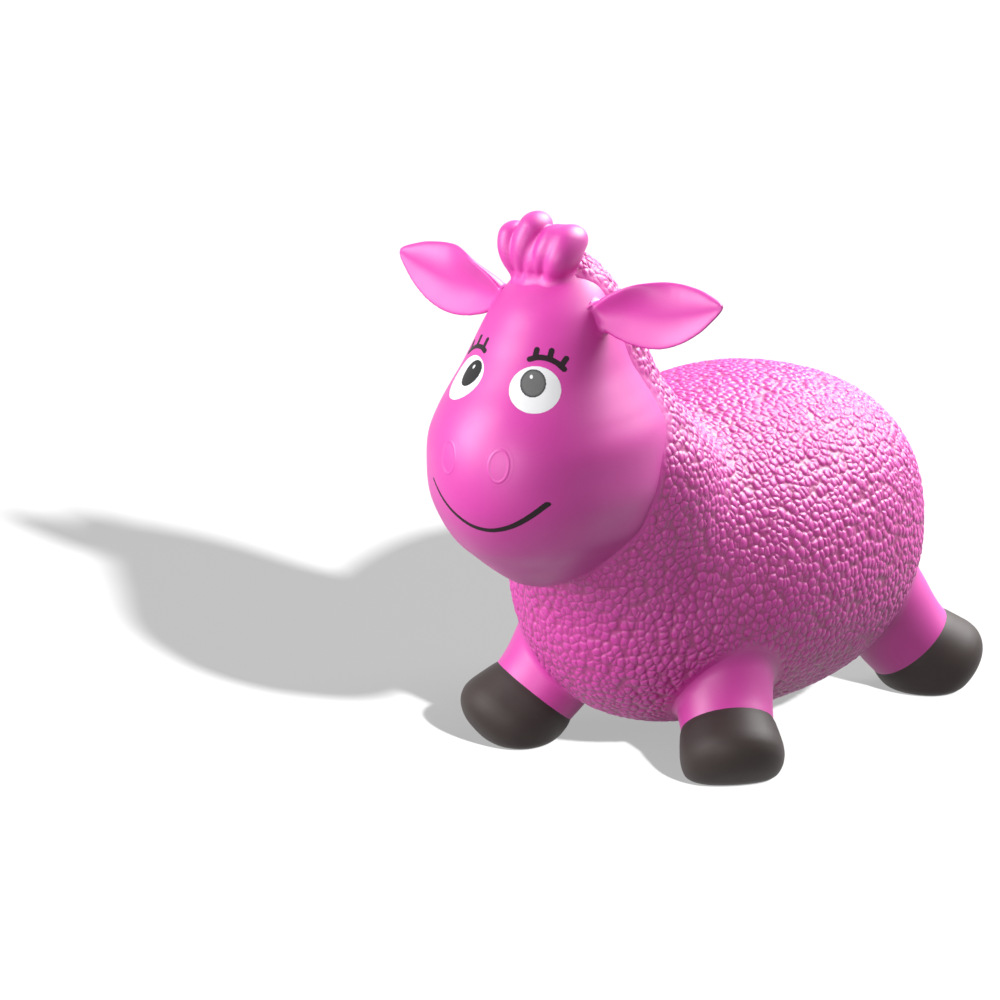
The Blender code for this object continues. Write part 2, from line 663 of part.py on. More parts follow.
def build_lashes(side, sign, forms, place, turn):
    def stroke(shares, reach):
        points = [(sign * EYE_HALF_WIDTH * across, EYE_HALF_HEIGHT * up) for across, up in shares]
        return stroke_prism("lash stroke", points, LASH_WIDTH, reach)

    spikes = [add_cutter(side + " lash spike " + str(count), stroke(spike, FACE_REACH + OVERRUN), place, turn)
              for count, spike in enumerate(LASH_SPIKE_SHARES)]
    paint_patch("lashes_" + side, LASH_BLACK, stroke(LASH_BAR_SHARES, FACE_REACH), forms, place, turn, spikes)


def build_mouth_and_nostrils(forms):
    reach = (HEAD_HALF_WIDTH * MOUTH_WIDTH_SHARE, HEAD_HEIGHT * MOUTH_RISE_SHARE)
    points = [(reach[0] * across, reach[1] * up) for across, up in MOUTH_SHARES]
    smile = stroke_prism("smile", points, MOUTH_LINE_WIDTH, FACE_REACH)
    paint_patch("mouth_line", LASH_BLACK, smile, forms, head_place(0.0, 1.0, MOUTH_HEIGHT_SHARE))
    inner = (NOSTRIL_HALF_WIDTH - NOSTRIL_RIM_WIDTH, NOSTRIL_HALF_HEIGHT - NOSTRIL_RIM_WIDTH)
    for side, sign in (("left", 1), ("right", -1)):
        place = head_place(sign * NOSTRIL_ACROSS_SHARE, 1.0, NOSTRIL_HEIGHT_SHARE)
        outline = oval_prism("nostril", NOSTRIL_HALF_WIDTH, NOSTRIL_HALF_HEIGHT, FACE_REACH)
        rim = paint_patch("nostril_rim_" + side, FACE_PINK, outline, forms, place)
        hole = oval_prism("nostril hole", *inner, FACE_REACH + OVERRUN)
        boolean(rim, "DIFFERENCE", add_cutter(side + " nostril hole", hole, place))


def build_valve(forms):
    surface, outward = rump_place(VALVE_RISE_SHARE)
    seat_place = surface - outward * VALVE_SINK
    inward = (math.pi / 2 + math.atan2(outward.z, outward.y), 0.0, 0.0)
    seat_profile = [
        (VALVE_BODY_DEPTH, VALVE_BORE_RADIUS),
        (VALVE_BODY_DEPTH, VALVE_BODY_RADIUS),
        (0.0, VALVE_BODY_RADIUS),
        (0.0, VALVE_FLANGE_RADIUS),
        (VALVE_EDGE - VALVE_FLANGE_THICKNESS, VALVE_FLANGE_RADIUS),
        (-VALVE_FLANGE_THICKNESS, VALVE_FLANGE_RADIUS - VALVE_EDGE),
        (-VALVE_FLANGE_THICKNESS, VALVE_BORE_RADIUS),
        (VALVE_BODY_DEPTH, VALVE_BORE_RADIUS),
    ]
    seat = add_part("valve_seat", profile_mesh("seat form", seat_profile), VALVE_CREAM, seat_place, inward)
    turn_round(seat, VALVE_SIDES)
    hole_profile = [
        (VALVE_BODY_DEPTH + WALL, 0.0),
        (VALVE_BODY_DEPTH + WALL, VALVE_BODY_RADIUS + GAP),
        (GAP, VALVE_BODY_RADIUS + GAP),
        (GAP, VALVE_FLANGE_RADIUS + GAP),
        (-WALL, VALVE_FLANGE_RADIUS + GAP),
        (-WALL, 0.0),
    ]
    hole = add_cutter("valve hole", profile_mesh("valve hole", hole_profile), seat_place, inward)
    forms["valve hole"] = turn_round(hole, VALVE_SIDES)
    plug_profile = [
        (PLUG_STEM_LENGTH, 0.0),
        (PLUG_STEM_LENGTH, PLUG_TIP_RADIUS),
        (0.0, VALVE_BORE_RADIUS - GAP),
        (0.0, PLUG_CAP_RADIUS),
        (VALVE_EDGE - PLUG_CAP_THICKNESS, PLUG_CAP_RADIUS),
        (-PLUG_CAP_THICKNESS, PLUG_CAP_RADIUS - VALVE_EDGE),
        (-PLUG_CAP_THICKNESS, 0.0),
    ]
    plug_place = seat_place + outward * (VALVE_FLANGE_THICKNESS + GAP)
    plug = add_part("valve_plug", profile_mesh("plug form", plug_profile), VALVE_CREAM, plug_place, inward)
    turn_round(plug, VALVE_SIDES)


def build_forms():
    forms = {"torso": torso_form(), "neck": neck_form(), "head": head_form()}
    for name in ("torso", "neck", "head"):
        hollow = offset_mesh(forms[name], -WALL, name + " hollow")
        forms[name + " hollow"] = add_cutter(name + " hollow", hollow)
    for name in ("neck", "head"):
        clearance = offset_mesh(forms[name], GAP, name + " clearance")
        forms[name + " clearance"] = add_cutter(name + " clearance", clearance)
    hip = offset_mesh(forms["torso"], HIP_CLEARANCE, "hip clearance")
    forms["hip clearance"] = add_cutter("hip clearance", hip)
    inner = offset_mesh(forms["head"], GAP, "paint inner")
    outer = offset_mesh(forms["head"], GAP + PAINT_THICKNESS, "paint outer")
    forms["paint inner"] = add_cutter("paint inner", inner)
    forms["paint outer"] = add_cutter("paint outer", outer)
    return forms


def main():
    forms = build_forms()
    build_ears(forms)
    build_tail(forms)
    build_valve(forms)
    legs = build_legs(forms)
    build_torso(forms, legs)
    build_neck_and_head(forms)
    build_forelock(forms)
    build_eyes(forms)
    build_mouth_and_nostrils(forms)
    bpy.context.view_layer.update()


clear_scene()
PARTS = new_collection("hopper_sheep")
CUTTERS = new_collection("cutters")
main()
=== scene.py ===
import math
from functools import partial, reduce
from itertools import product

import bpy
import numpy as np
from mathutils import Matrix, Vector


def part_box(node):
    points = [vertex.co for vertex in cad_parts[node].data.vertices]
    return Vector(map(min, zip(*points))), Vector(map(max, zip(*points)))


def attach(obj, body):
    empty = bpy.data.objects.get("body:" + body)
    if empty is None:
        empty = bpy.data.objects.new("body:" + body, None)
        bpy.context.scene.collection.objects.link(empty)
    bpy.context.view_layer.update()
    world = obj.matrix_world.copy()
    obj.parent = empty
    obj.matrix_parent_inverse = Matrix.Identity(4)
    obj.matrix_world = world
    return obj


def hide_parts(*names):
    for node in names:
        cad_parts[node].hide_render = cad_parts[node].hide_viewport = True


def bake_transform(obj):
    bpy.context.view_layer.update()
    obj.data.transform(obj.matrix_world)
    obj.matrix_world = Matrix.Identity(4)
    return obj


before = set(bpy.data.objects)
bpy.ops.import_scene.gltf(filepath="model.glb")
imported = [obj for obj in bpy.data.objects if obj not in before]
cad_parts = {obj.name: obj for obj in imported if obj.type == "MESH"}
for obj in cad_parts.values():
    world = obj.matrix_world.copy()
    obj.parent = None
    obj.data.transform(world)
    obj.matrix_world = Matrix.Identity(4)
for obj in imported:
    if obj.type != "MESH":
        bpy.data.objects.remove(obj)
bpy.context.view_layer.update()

print("frame loaded")

sides = {"left": 1, "right": -1}


# forms are fields in metres, in the frame of the solids: +Z up, the face looks along -Y;
# below zero is inside, and near the surface a value is a distance
def curveRows(rows, ends=0.08, count=500):
    rows = np.array(rows, float)
    t, values = rows[:, 0], rows[:, 1:]
    slopes = np.gradient(values, t, axis=0)
    span = t[-1] - t[0]
    at = np.linspace(t[0] - ends * span, t[-1] + ends * span, count)
    k = np.clip(np.searchsorted(t, at) - 1, 0, len(t) - 2)
    width = t[k + 1] - t[k]
    s = np.clip((at - t[k]) / width, 0, 1)[:, None]
    h = width[:, None]
    curve = ((2 * s**3 - 3 * s**2 + 1) * values[k] + (s**3 - 2 * s**2 + s) * h * slopes[k]
             + (3 * s**2 - 2 * s**3) * values[k + 1] + (s**3 - s**2) * h * slopes[k + 1])
    past = (at - np.clip(at, t[0], t[-1]))[:, None]
    end = np.where(at[:, None] < t[0], slopes[0], slopes[-1])
    return at, curve + past * end


def readCurve(curve, at):
    where, values = curve
    slopes = np.gradient(values, where, axis=0)
    columns = range(values.shape[1])
    return ([np.interp(at, where, values[:, c]) for c in columns],
            [np.interp(at, where, slopes[:, c]) for c in columns])


def loftCurve(rows):
    # height, centre, half width, half depth become height, centre, width squared, ratio of the squares
    rows = np.array(rows, float)
    wide, deep = rows[:, 2], rows[:, 3]
    ratio = (np.maximum(wide, 1e-6) / np.maximum(deep, 1e-6)) ** 2
    ratio[0], ratio[-1] = ratio[1], ratio[-2]
    return curveRows(np.column_stack([rows[:, 0], rows[:, 1], wide**2, ratio]))


def loftField(curve, x, y, z):
    (centre, wide, ratio), (dCentre, dWide, dRatio) = readCurve(curve, z)
    v = y - centre
    value = x**2 + v**2 * ratio - wide
    slope = np.sqrt((2 * x)**2 + (2 * v * ratio)**2 + (v**2 * dRatio - 2 * v * ratio * dCentre - dWide)**2)
    return value / np.maximum(slope, 1e-3)


def turnedField(curve, along, radiusSquared):
    (wide,), (dWide,) = readCurve(curve, along)
    value = radiusSquared - wide
    slope = np.sqrt(4 * np.maximum(radiusSquared, 0) + dWide**2)
    return value / np.maximum(slope, 1e-3)


def smoothMin(a, b, reach):
    share = np.clip(0.5 + 0.5 * (b - a) / reach, 0, 1)
    return b + (a - b) * share - reach * share * (1 - share)


def smoothMax(a, b, reach):
    return -smoothMin(-a, -b, reach)


def ease(value, low, high):
    t = np.clip((value - low) / (high - low), 0, 1)
    return t * t * (3 - 2 * t)


torso = {
    "middleY": 0.058, "halfLength": 0.186, "halfHeight": 0.1225, "halfWidth": 0.13, "middleZ": 0.137,
    "squareness": 2.5, "chestNarrowing": 0.27, "fullness": 0.26, "fullReach": 0.35}


def torsoField(x, y, z):
    along = (y - torso["middleY"]) / torso["halfLength"]
    narrow = 1 - torso["chestNarrowing"] * np.clip(-along, 0, 1)**2
    wide, tall = torso["halfWidth"] * narrow, torso["halfHeight"]
    up = z - torso["middleZ"]
    n = torso["squareness"]
    m = 2 + torso["fullness"] * ease(along, -torso["fullReach"], torso["fullReach"])  # fuller to the rear
    ox, oz = np.abs(x / wide) + 1e-9, np.abs(up / tall) + 1e-9
    across = (ox**m + oz**m)**(1 / m)
    size = (np.abs(along)**n + across**n)**(1 / n) + 1e-9
    acrossSlope = np.sqrt(((ox / across)**(m - 1) / wide)**2 + ((oz / across)**(m - 1) / tall)**2)
    slope = np.sqrt(((np.abs(along) / size)**(n - 1) / torso["halfLength"])**2
                    + ((across / size)**(n - 1) * acrossSlope)**2)
    return (size - 1) / np.maximum(slope, 1.0)


neck = {
    "bottom": 0.13, "height": 0.286, "halfWidth": 0.09, "middleY": -0.06, "lean": 0.09,
    # share of height, lean, width, depth
    "rows": [(0.0, 0.3, 0.0, 0.0), (0.04, 0.3, 0.5, 0.42), (0.16, 0.28, 0.88, 0.72),
             (0.3, 0.34, 1.0, 0.88), (0.4, 0.45, 0.98, 0.92), (0.52, 0.6, 0.82, 0.82),
             (0.62, 0.71, 0.68, 0.69), (0.74, 0.77, 0.56, 0.545), (0.82, 0.81, 0.485, 0.455),
             (0.92, 0.91, 0.36, 0.32), (0.975, 0.96, 0.19, 0.18), (1.0, 0.97, 0.0, 0.0)]}

head = {
    "bottom": 0.161, "height": 0.245, "halfWidth": 0.0808, "halfDepth": 0.107, "middleY": -0.165,
    "box": ((-0.088, -0.278, 0.155), (0.088, -0.04, 0.412)),
    # share of height, front, back, width
    "rows": [(0.0, 0.02, 0.02, 0.0), (0.012, 0.18, 0.22, 0.17), (0.045, 0.36, 0.46, 0.36),
             (0.118, 0.6, 0.76, 0.62), (0.184, 0.78, 0.94, 0.81), (0.253, 0.9, 1.04, 0.91),
             (0.32, 0.97, 1.08, 0.98), (0.412, 1.0, 1.08, 1.0), (0.502, 0.98, 1.01, 0.98),
             (0.567, 0.93, 0.92, 0.9), (0.629, 0.84, 0.82, 0.81), (0.69, 0.71, 0.71, 0.725),
             (0.75, 0.59, 0.63, 0.66), (0.829, 0.45, 0.56, 0.575), (0.894, 0.31, 0.5, 0.485),
             (0.951, 0.13, 0.42, 0.36), (0.985, -0.02, 0.3, 0.19), (1.0, -0.13, 0.13, 0.0)]}

neckCurve = loftCurve([(neck["bottom"] + neck["height"] * t, neck["middleY"] - neck["lean"] * lean,
                        neck["halfWidth"] * wide, neck["halfWidth"] * deep)
                       for t, lean, wide, deep in neck["rows"]])
headCurve = loftCurve([(head["bottom"] + head["height"] * t,
                        head["middleY"] + head["halfDepth"] * (back - front) / 2,
                        head["halfWidth"] * wide, head["halfDepth"] * (front + back) / 2 if wide else 0.0)
                       for t, front, back, wide in head["rows"]])

neckField = partial(loftField, neckCurve)
headField = partial(loftField, headCurve)

# step is the width of the mesh's quads, hidden the depth in the head past which the body is left out
skin = {
    "step": 0.0024, "neckFillet": 0.03, "smoothRounds": 4, "hidden": 0.006,
    "box": ((-0.138, -0.176, 0.008), (0.138, 0.25, 0.424)), "middleFrom": 0.035, "rearFrom": 0.135}


def bodyField(x, y, z):
    return smoothMin(torsoField(x, y, z), neckField(x, y, z), skin["neckFillet"])


leg = {
    "length": 0.07, "lean": 40, "hoofLine": 0.0588, "hoofCentre": 0.03, "topEnd": -0.042,
    "soleRound": 0.006, "fillet": 0.0065,
    # how far the shin bows, and where down the leg the bow comes and goes
    "bow": 0.0042, "bowComes": (0.01, 0.052), "bowGoes": (0.056, 0.09),
    # where each leg leaves the body: across, along, turn
    "ends": {"front": (0.06011, -0.02509, -47), "rear": (0.06188, 0.17754, 50)},
    # distance down the leg, radius
    "rows": {"front": [(-0.04, 0.026), (-0.02, 0.036), (0.0, 0.0402), (0.014, 0.0392), (0.028, 0.0374),
                       (0.042, 0.0356), (0.053, 0.0345), (0.059, 0.0341), (0.065, 0.0328)],
             "rear": [(-0.04, 0.026), (-0.02, 0.034), (0.0, 0.0376), (0.014, 0.0374), (0.028, 0.0366),
                      (0.042, 0.0354), (0.053, 0.0345), (0.059, 0.0341), (0.065, 0.0328)]},
    "hoofRows": [(0.0508, 0.0322), (0.0585, 0.0342), (0.062, 0.0354), (0.068, 0.0366), (0.0745, 0.0376),
                 (0.0815, 0.0384), (0.089, 0.038), (0.0955, 0.0356), (0.1015, 0.03), (0.106, 0.021),
                 (0.1087, 0.0)],
    # skin and hoof pass each other under the line
    "step": 0.0018, "skinUnder": 0.0033, "hoofOver": 0.006, "bendFrom": 0.03, "bendTo": 0.047,
    "bendLean": (0.015, 0.072), "skinMiddle": 0.035, "skinReach": 0.062, "hoofReach": 0.044}
legCurves = {end: curveRows([(s, r**2) for s, r in rows]) for end, rows in leg["rows"].items()}
hoofCurve = curveRows([(s, r**2) for s, r in leg["hoofRows"]])


def legFrame(end, sign):
    acrossX, alongY, yaw = leg["ends"][end]
    turn = math.radians(yaw)
    lean = math.radians(leg["lean"])
    out = Vector((sign * math.cos(turn), math.sin(turn), 0))
    down = out * math.sin(lean) - Vector((0, 0, math.cos(lean)))
    top = out * math.cos(lean) + Vector((0, 0, math.sin(lean)))
    pivotZ = leg["hoofCentre"] + leg["length"] * math.cos(lean)
    return Vector((sign * acrossX, alongY, pivotZ)), down, top


def downLeg(end, sign, x, y, z):
    pivot, down, top = legFrame(end, sign)
    dx, dy, dz = x - pivot.x, y - pivot.y, z - pivot.z
    along = dx * down.x + dy * down.y + dz * down.z
    shift = leg["bow"] * ease(along, *leg["bowComes"]) * (1 - ease(along, *leg["bowGoes"]))
    dx, dy, dz = dx + shift * top.x, dy + shift * top.y, dz + shift * top.z
    return along, dx**2 + dy**2 + dz**2 - along**2


def legField(end, sign, x, y, z):
    along, radius = downLeg(end, sign, x, y, z)
    return np.maximum(turnedField(legCurves[end], along, radius), leg["topEnd"] - along)


def hoofField(end, sign, x, y, z):
    along, radius = downLeg(end, sign, x, y, z)
    return smoothMax(turnedField(hoofCurve, along, radius), -z, leg["soleRound"])


def slopeOf(field, points, reach=0.0002):
    slope = np.empty_like(points)
    for axis in range(3):
        ahead, behind = points.copy(), points.copy()
        ahead[:, axis] += reach
        behind[:, axis] -= reach
        slope[:, axis] = (field(*ahead.T) - field(*behind.T)) / (2 * reach)
    return slope


def ontoSurface(field, points, rounds=3):
    for _ in range(rounds):
        slope = slopeOf(field, points)
        points = points - slope * (field(*points.T) / np.maximum((slope**2).sum(1), 1e-6))[:, None]
    return points


# a quad mesh on the zero of a field
def surfaceNet(field, low, high, step, rounds):
    axes = [a + step * np.arange(int(math.ceil((b - a) / step)) + 1) for a, b in zip(low, high)]
    value = field(*np.ix_(*axes))
    inside = value < 0
    corners = np.array(list(product((0, 1), repeat=3)))
    cut = tuple(n - 1 for n in value.shape)
    count = sum(inside[i:i + cut[0], j:j + cut[1], k:k + cut[2]].astype(np.int8) for i, j, k in corners)
    mixed = (count > 0) & (count < 8)
    cells = np.argwhere(mixed)
    number = np.full(cut, -1, np.int64)
    number[mixed] = np.arange(len(cells))
    at = [value[cells[:, 0] + i, cells[:, 1] + j, cells[:, 2] + k] for i, j, k in corners]
    total, hits = np.zeros((len(cells), 3)), np.zeros(len(cells))
    for a in range(8):
        for b in range(a + 1, 8):
            if np.abs(corners[a] - corners[b]).sum() == 1:
                crossed = (at[a] < 0) != (at[b] < 0)
                share = np.where(crossed, at[a] / np.where(crossed, at[a] - at[b], 1.0), 0.0)[:, None]
                place = corners[a] + (corners[b] - corners[a]) * share
                total += place * crossed[:, None]
                hits += crossed
    points = np.array([a[0] for a in axes]) + (cells + total / hits[:, None]) * step
    quads = []
    for axis in range(3):
        u, v = [(1, 2), (2, 0), (0, 1)][axis]
        near, far = [slice(1, -1)] * 3, [slice(1, -1)] * 3
        near[axis], far[axis] = slice(None, -1), slice(1, None)
        first, second = inside[tuple(near)], inside[tuple(far)]
        edge = np.argwhere(first != second)
        outward = first[tuple(edge.T)]
        edge[:, u] += 1
        edge[:, v] += 1
        ring = []
        for du, dv in ((-1, -1), (0, -1), (0, 0), (-1, 0)):
            cell = edge.copy()
            cell[:, u] += du
            cell[:, v] += dv
            ring.append(number[tuple(cell.T)])
        ring = np.array(ring).T
        ring[~outward] = ring[~outward][:, ::-1]
        quads.append(ring)
    quads = np.concatenate(quads)
    points = ontoSurface(field, points)
    for _ in range(rounds):
        points = ontoSurface(field, points + 0.6 * (neighbourMean(points, quads) - points), 1)
    return ontoSurface(field, points, 2), quads


def neighbourMean(points, quads):
    total, hits = np.zeros_like(points), np.zeros(len(points))
    for side in range(4):
        a, b = quads[:, side], quads[:, (side + 1) % 4]
        for here, there in ((a, b), (b, a)):
            for axis in range(3):
                total[:, axis] += np.bincount(here, points[there, axis], len(points))
            hits += np.bincount(here, minlength=len(points))
    return total / np.maximum(hits, 1)[:, None]


def keptFaces(points, quads, keep):
    used, number = np.unique(quads[keep[quads].all(1)], return_inverse=True)
    return points[used], number.reshape(-1, 4)


def around(middle, *reach):
    return np.array(middle) - reach, np.array(middle) + reach


# objects
def newMesh(name, points, faces, normals=None):
    mesh = bpy.data.meshes.new(name)
    faces = faces if isinstance(faces, list) else faces.tolist()
    mesh.from_pydata(np.asarray(points, float).tolist(), [], faces)
    mesh.update()
    mesh.shade_smooth()
    if normals is not None:
        mesh.normals_split_custom_set_from_vertices(normals.tolist())
    piece = bpy.data.objects.new(name, mesh)
    bpy.context.scene.collection.objects.link(piece)
    return piece


def addValues(piece, name, values):
    values = np.asarray(values, np.float32)
    kind = "FLOAT_VECTOR" if values.ndim == 2 else "FLOAT"
    attribute = piece.data.attributes.new(name, kind, "POINT")
    attribute.data.foreach_set("vector" if values.ndim == 2 else "value", values.ravel())


def readValues(data, key, width, kind=float):
    values = np.empty(len(data) * width, kind)
    data.foreach_get(key, values)
    return values.reshape(-1, width)


def dress(piece, material, **values):
    for name, value in values.items():
        addValues(piece, name, value)
    piece.data.materials.append(material)


def unit(vectors):
    return vectors / np.maximum(np.linalg.norm(vectors, axis=1), 1e-12)[:, None]


# node helpers
def addNode(tree, kind, **settings):
    node = tree.nodes.new(kind)
    inputs = settings.pop("inputs", {})
    for name, value in settings.items():
        setattr(node, name, value)
    for name, value in inputs.items():
        socket = node.inputs[name]
        if isinstance(value, bpy.types.NodeSocket):
            tree.links.new(value, socket)
        else:
            socket.default_value = value
    return node


def addSocket(tree, way, kind, name, value=None):
    socket = tree.interface.new_socket(name, in_out=way, socket_type="NodeSocket" + kind)
    if value is not None:
        socket.default_value = value


def addMath(tree, operation, *values, clamp=False):
    return addNode(tree, "ShaderNodeMath", operation=operation, use_clamp=clamp,
                   inputs=dict(enumerate(values))).outputs[0]


def addVector(tree, operation, first, second):
    second = {"Scale" if operation == "SCALE" else 1: second}
    return addNode(tree, "ShaderNodeVectorMath", operation=operation, inputs={0: first, **second}).outputs[0]


def addRange(tree, value, low, high, start=0.0, end=1.0):
    ends = {"Value": value, "From Min": low, "From Max": high, "To Min": start, "To Max": end}
    return addNode(tree, "ShaderNodeMapRange", inputs=ends).outputs[0]


# the fleece: pebbles raised on the skin by geometry nodes
pebbles = {
    "inputs": {"Pebble Size": 0.0058, "Crease Share": 0.24, "Warp": 0.0022, "Warp Scale": 110.0,
               "Randomness": 0.82},
    "height": 0.0017, "upScale": 0.82, "crownReach": 0.8, "cornerReach": 0.74, "cornerWidth": 0.26,
    "cornerRound": (0.25, 0.2), "wallShare": 0.45, "sunk": 0.55, "uneven": (0.45, 0.75)}


def pebbleNodes(tree, place, given):
    # the same nodes serve the geometry and the shader, so that both draw one pattern
    drift = addNode(tree, "ShaderNodeTexNoise",
                    inputs={"Vector": place, "Scale": given["Warp Scale"], "Detail": 1.0})
    centred = addVector(tree, "SUBTRACT", drift.outputs["Color"], (0.5, 0.5, 0.5))
    moved = addVector(tree, "ADD", place, addVector(tree, "SCALE", centred, given["Warp"]))
    tall = addVector(tree, "MULTIPLY", moved, (1, 1, pebbles["upScale"]))
    cells = {"Vector": tall, "Scale": addMath(tree, "DIVIDE", 1.0, given["Pebble Size"]),
             "Randomness": given["Randomness"]}
    edge = addNode(tree, "ShaderNodeTexVoronoi", feature="DISTANCE_TO_EDGE", inputs=cells).outputs["Distance"]
    cell = addNode(tree, "ShaderNodeTexVoronoi", feature="F1", inputs=cells).outputs
    near = addMath(tree, "DIVIDE", edge, given["Crease Share"], clamp=True)
    left = addMath(tree, "SUBTRACT", 1.0, near)
    wall = addMath(tree, "SUBTRACT", 1.0, addMath(tree, "MULTIPLY", left, left))
    away = addMath(tree, "DIVIDE", cell["Distance"], pebbles["crownReach"])
    crown = addMath(tree, "SUBTRACT", 1.0, addMath(tree, "MULTIPLY", away, away), clamp=True)
    # the corners of a cell are rounded off
    corner = addMath(tree, "SUBTRACT", pebbles["cornerReach"], cell["Distance"])
    corner = addMath(tree, "DIVIDE", corner, pebbles["cornerWidth"], clamp=True)
    nearRound, wallRound = pebbles["cornerRound"]
    near = addMath(tree, "SMOOTH_MIN", near, corner, nearRound)
    wall = addMath(tree, "SMOOTH_MIN", wall, addMath(tree, "POWER", corner, 0.6), wallRound)
    crown = addMath(tree, "MULTIPLY", crown, 1 - pebbles["wallShare"])
    dome = addMath(tree, "MULTIPLY_ADD", wall, pebbles["wallShare"], crown)
    tone = addNode(tree, "ShaderNodeSeparateXYZ", inputs={0: cell["Color"]}).outputs[0]
    return dome, near, tone


def fleeceTree(material):
    tree = bpy.data.node_groups.new("raisedPebbles", "GeometryNodeTree")
    addSocket(tree, "INPUT", "Geometry", "Geometry")
    for name, value in {**pebbles["inputs"], "Pebble Height": pebbles["height"]}.items():
        addSocket(tree, "INPUT", "Float", name, value)
    addSocket(tree, "INPUT", "Int", "Finer", 1)
    addSocket(tree, "OUTPUT", "Geometry", "Geometry")
    given = addNode(tree, "NodeGroupInput").outputs
    finer = addNode(tree, "GeometryNodeSubdivisionSurface",
                    inputs={"Mesh": given["Geometry"], "Level": given["Finer"]})
    place = addNode(tree, "GeometryNodeInputPosition").outputs[0]
    stored = addNode(tree, "GeometryNodeStoreNamedAttribute", data_type="FLOAT_VECTOR", domain="POINT",
                     inputs={"Geometry": finer.outputs[0], "Name": "restPlace", "Value": place})
    dome, _, tone = pebbleNodes(tree, place, given)
    cover = addNode(tree, "GeometryNodeInputNamedAttribute", data_type="FLOAT", inputs={"Name": "fleece"})
    tall = addMath(tree, "MULTIPLY", given["Pebble Height"], cover.outputs["Attribute"])
    uneven = addMath(tree, "MULTIPLY_ADD", tone, *pebbles["uneven"])
    lift = addMath(tree, "MULTIPLY", addMath(tree, "SUBTRACT", dome, pebbles["sunk"]), uneven)
    normal = addNode(tree, "GeometryNodeInputNormal").outputs[0]
    offset = addVector(tree, "SCALE", normal, addMath(tree, "MULTIPLY", lift, tall))
    raised = addNode(tree, "GeometryNodeSetPosition",
                     inputs={"Geometry": stored.outputs[0], "Offset": offset})
    smooth = addNode(tree, "GeometryNodeSetShadeSmooth", inputs={"Geometry": raised.outputs[0]})
    realized = addNode(tree, "GeometryNodeRealizeInstances", inputs={0: smooth.outputs[0]})
    painted = addNode(tree, "GeometryNodeSetMaterial",
                      inputs={"Geometry": realized.outputs[0], "Material": material})
    addNode(tree, "NodeGroupOutput", inputs={0: painted.outputs[0]})
    return tree


def raiseFleece(piece, tree):
    piece.modifiers.new("pebbles", "NODES").node_group = tree
    evaluated = piece.evaluated_get(bpy.context.evaluated_depsgraph_get())
    mesh = bpy.data.meshes.new_from_object(evaluated)
    mesh.name = piece.name
    piece.modifiers.clear()
    piece.data = mesh


# materials
def newMaterial(name, values):
    material = bpy.data.materials.new(name)
    material.use_nodes = True
    shader = material.node_tree.nodes["Principled BSDF"]
    for key, value in values.items():
        shader.inputs[key].default_value = value
    return material, material.node_tree, shader


def newGroup(name, inputs, outputs):
    tree = bpy.data.node_groups.new(name, "ShaderNodeTree")
    addSocket(tree, "INPUT", "Vector", "Place")
    for key, value in inputs.items():
        addSocket(tree, "INPUT", "Float", key, value)
    for key in outputs:
        addSocket(tree, "OUTPUT", "Float", key)
    return tree, addNode(tree, "NodeGroupInput").outputs, addNode(tree, "NodeGroupOutput").inputs


def pebbleGroup():
    tree, given, put = newGroup("pebbleGrain", pebbles["inputs"], ("Near", "Tone"))
    _, near, tone = pebbleNodes(tree, given["Place"], given)
    tree.links.new(near, put["Near"])
    tree.links.new(tone, put["Tone"])
    return tree


def rubberGroup():
    scales = {"Patch Scale": 28.0, "Grain Scale": 2600.0}
    tree, given, put = newGroup("rubberGrain", scales, ("Patch", "Grain"))
    for name, detail in (("Patch", 3.0), ("Grain", 2.0)):
        noise = addNode(tree, "ShaderNodeTexNoise",
                        inputs={"Vector": given["Place"], "Scale": given[name + " Scale"], "Detail": detail})
        tree.links.new(noise.outputs["Fac"], put[name])
    return tree


def mixColour(tree, share, first, second):
    return addNode(tree, "ShaderNodeMix", data_type="RGBA", inputs={0: share, 6: first, 7: second}).outputs[2]


def darkened(colour, share):
    return tuple(c * share for c in colour[:3]) + (1,)


def addBump(tree, height, strength, distance):
    return addNode(tree, "ShaderNodeBump",
                   inputs={"Height": height, "Strength": strength, "Distance": distance}).outputs[0]


def addGrain(tree, shader, scales, strength, distance=0.0002):
    # the rubber's grain on Object coordinates; its patches vary the colour
    place = addNode(tree, "ShaderNodeTexCoord").outputs["Object"]
    rubber = addNode(tree, "ShaderNodeGroup", node_tree=rubberGrain,
                     inputs={"Place": place, "Patch Scale": scales[0], "Grain Scale": scales[1]})
    fine = addBump(tree, rubber.outputs["Grain"], strength, distance)
    tree.links.new(fine, shader.inputs["Normal"])
    return rubber.outputs["Patch"]


# the darker crease colour is painted shade in the creases between the pebbles; crown, smooth and patchy are
# the rubber's own pinks, patchy a random tone
pink = {
    "crown": (0.66, 0.026, 0.385, 1), "creaseShade": (0.4, 0.008, 0.19, 1), "smooth": (0.66, 0.024, 0.38, 1),
    "patchy": (0.6, 0.018, 0.33, 1), "toneShare": 0.5, "creaseShadeEdge": (0.05, 0.5),
    "roughness": (0.44, 0.52), "creaseBump": (0.5, 0.0008), "grainBump": (0.12, 0.0002)}


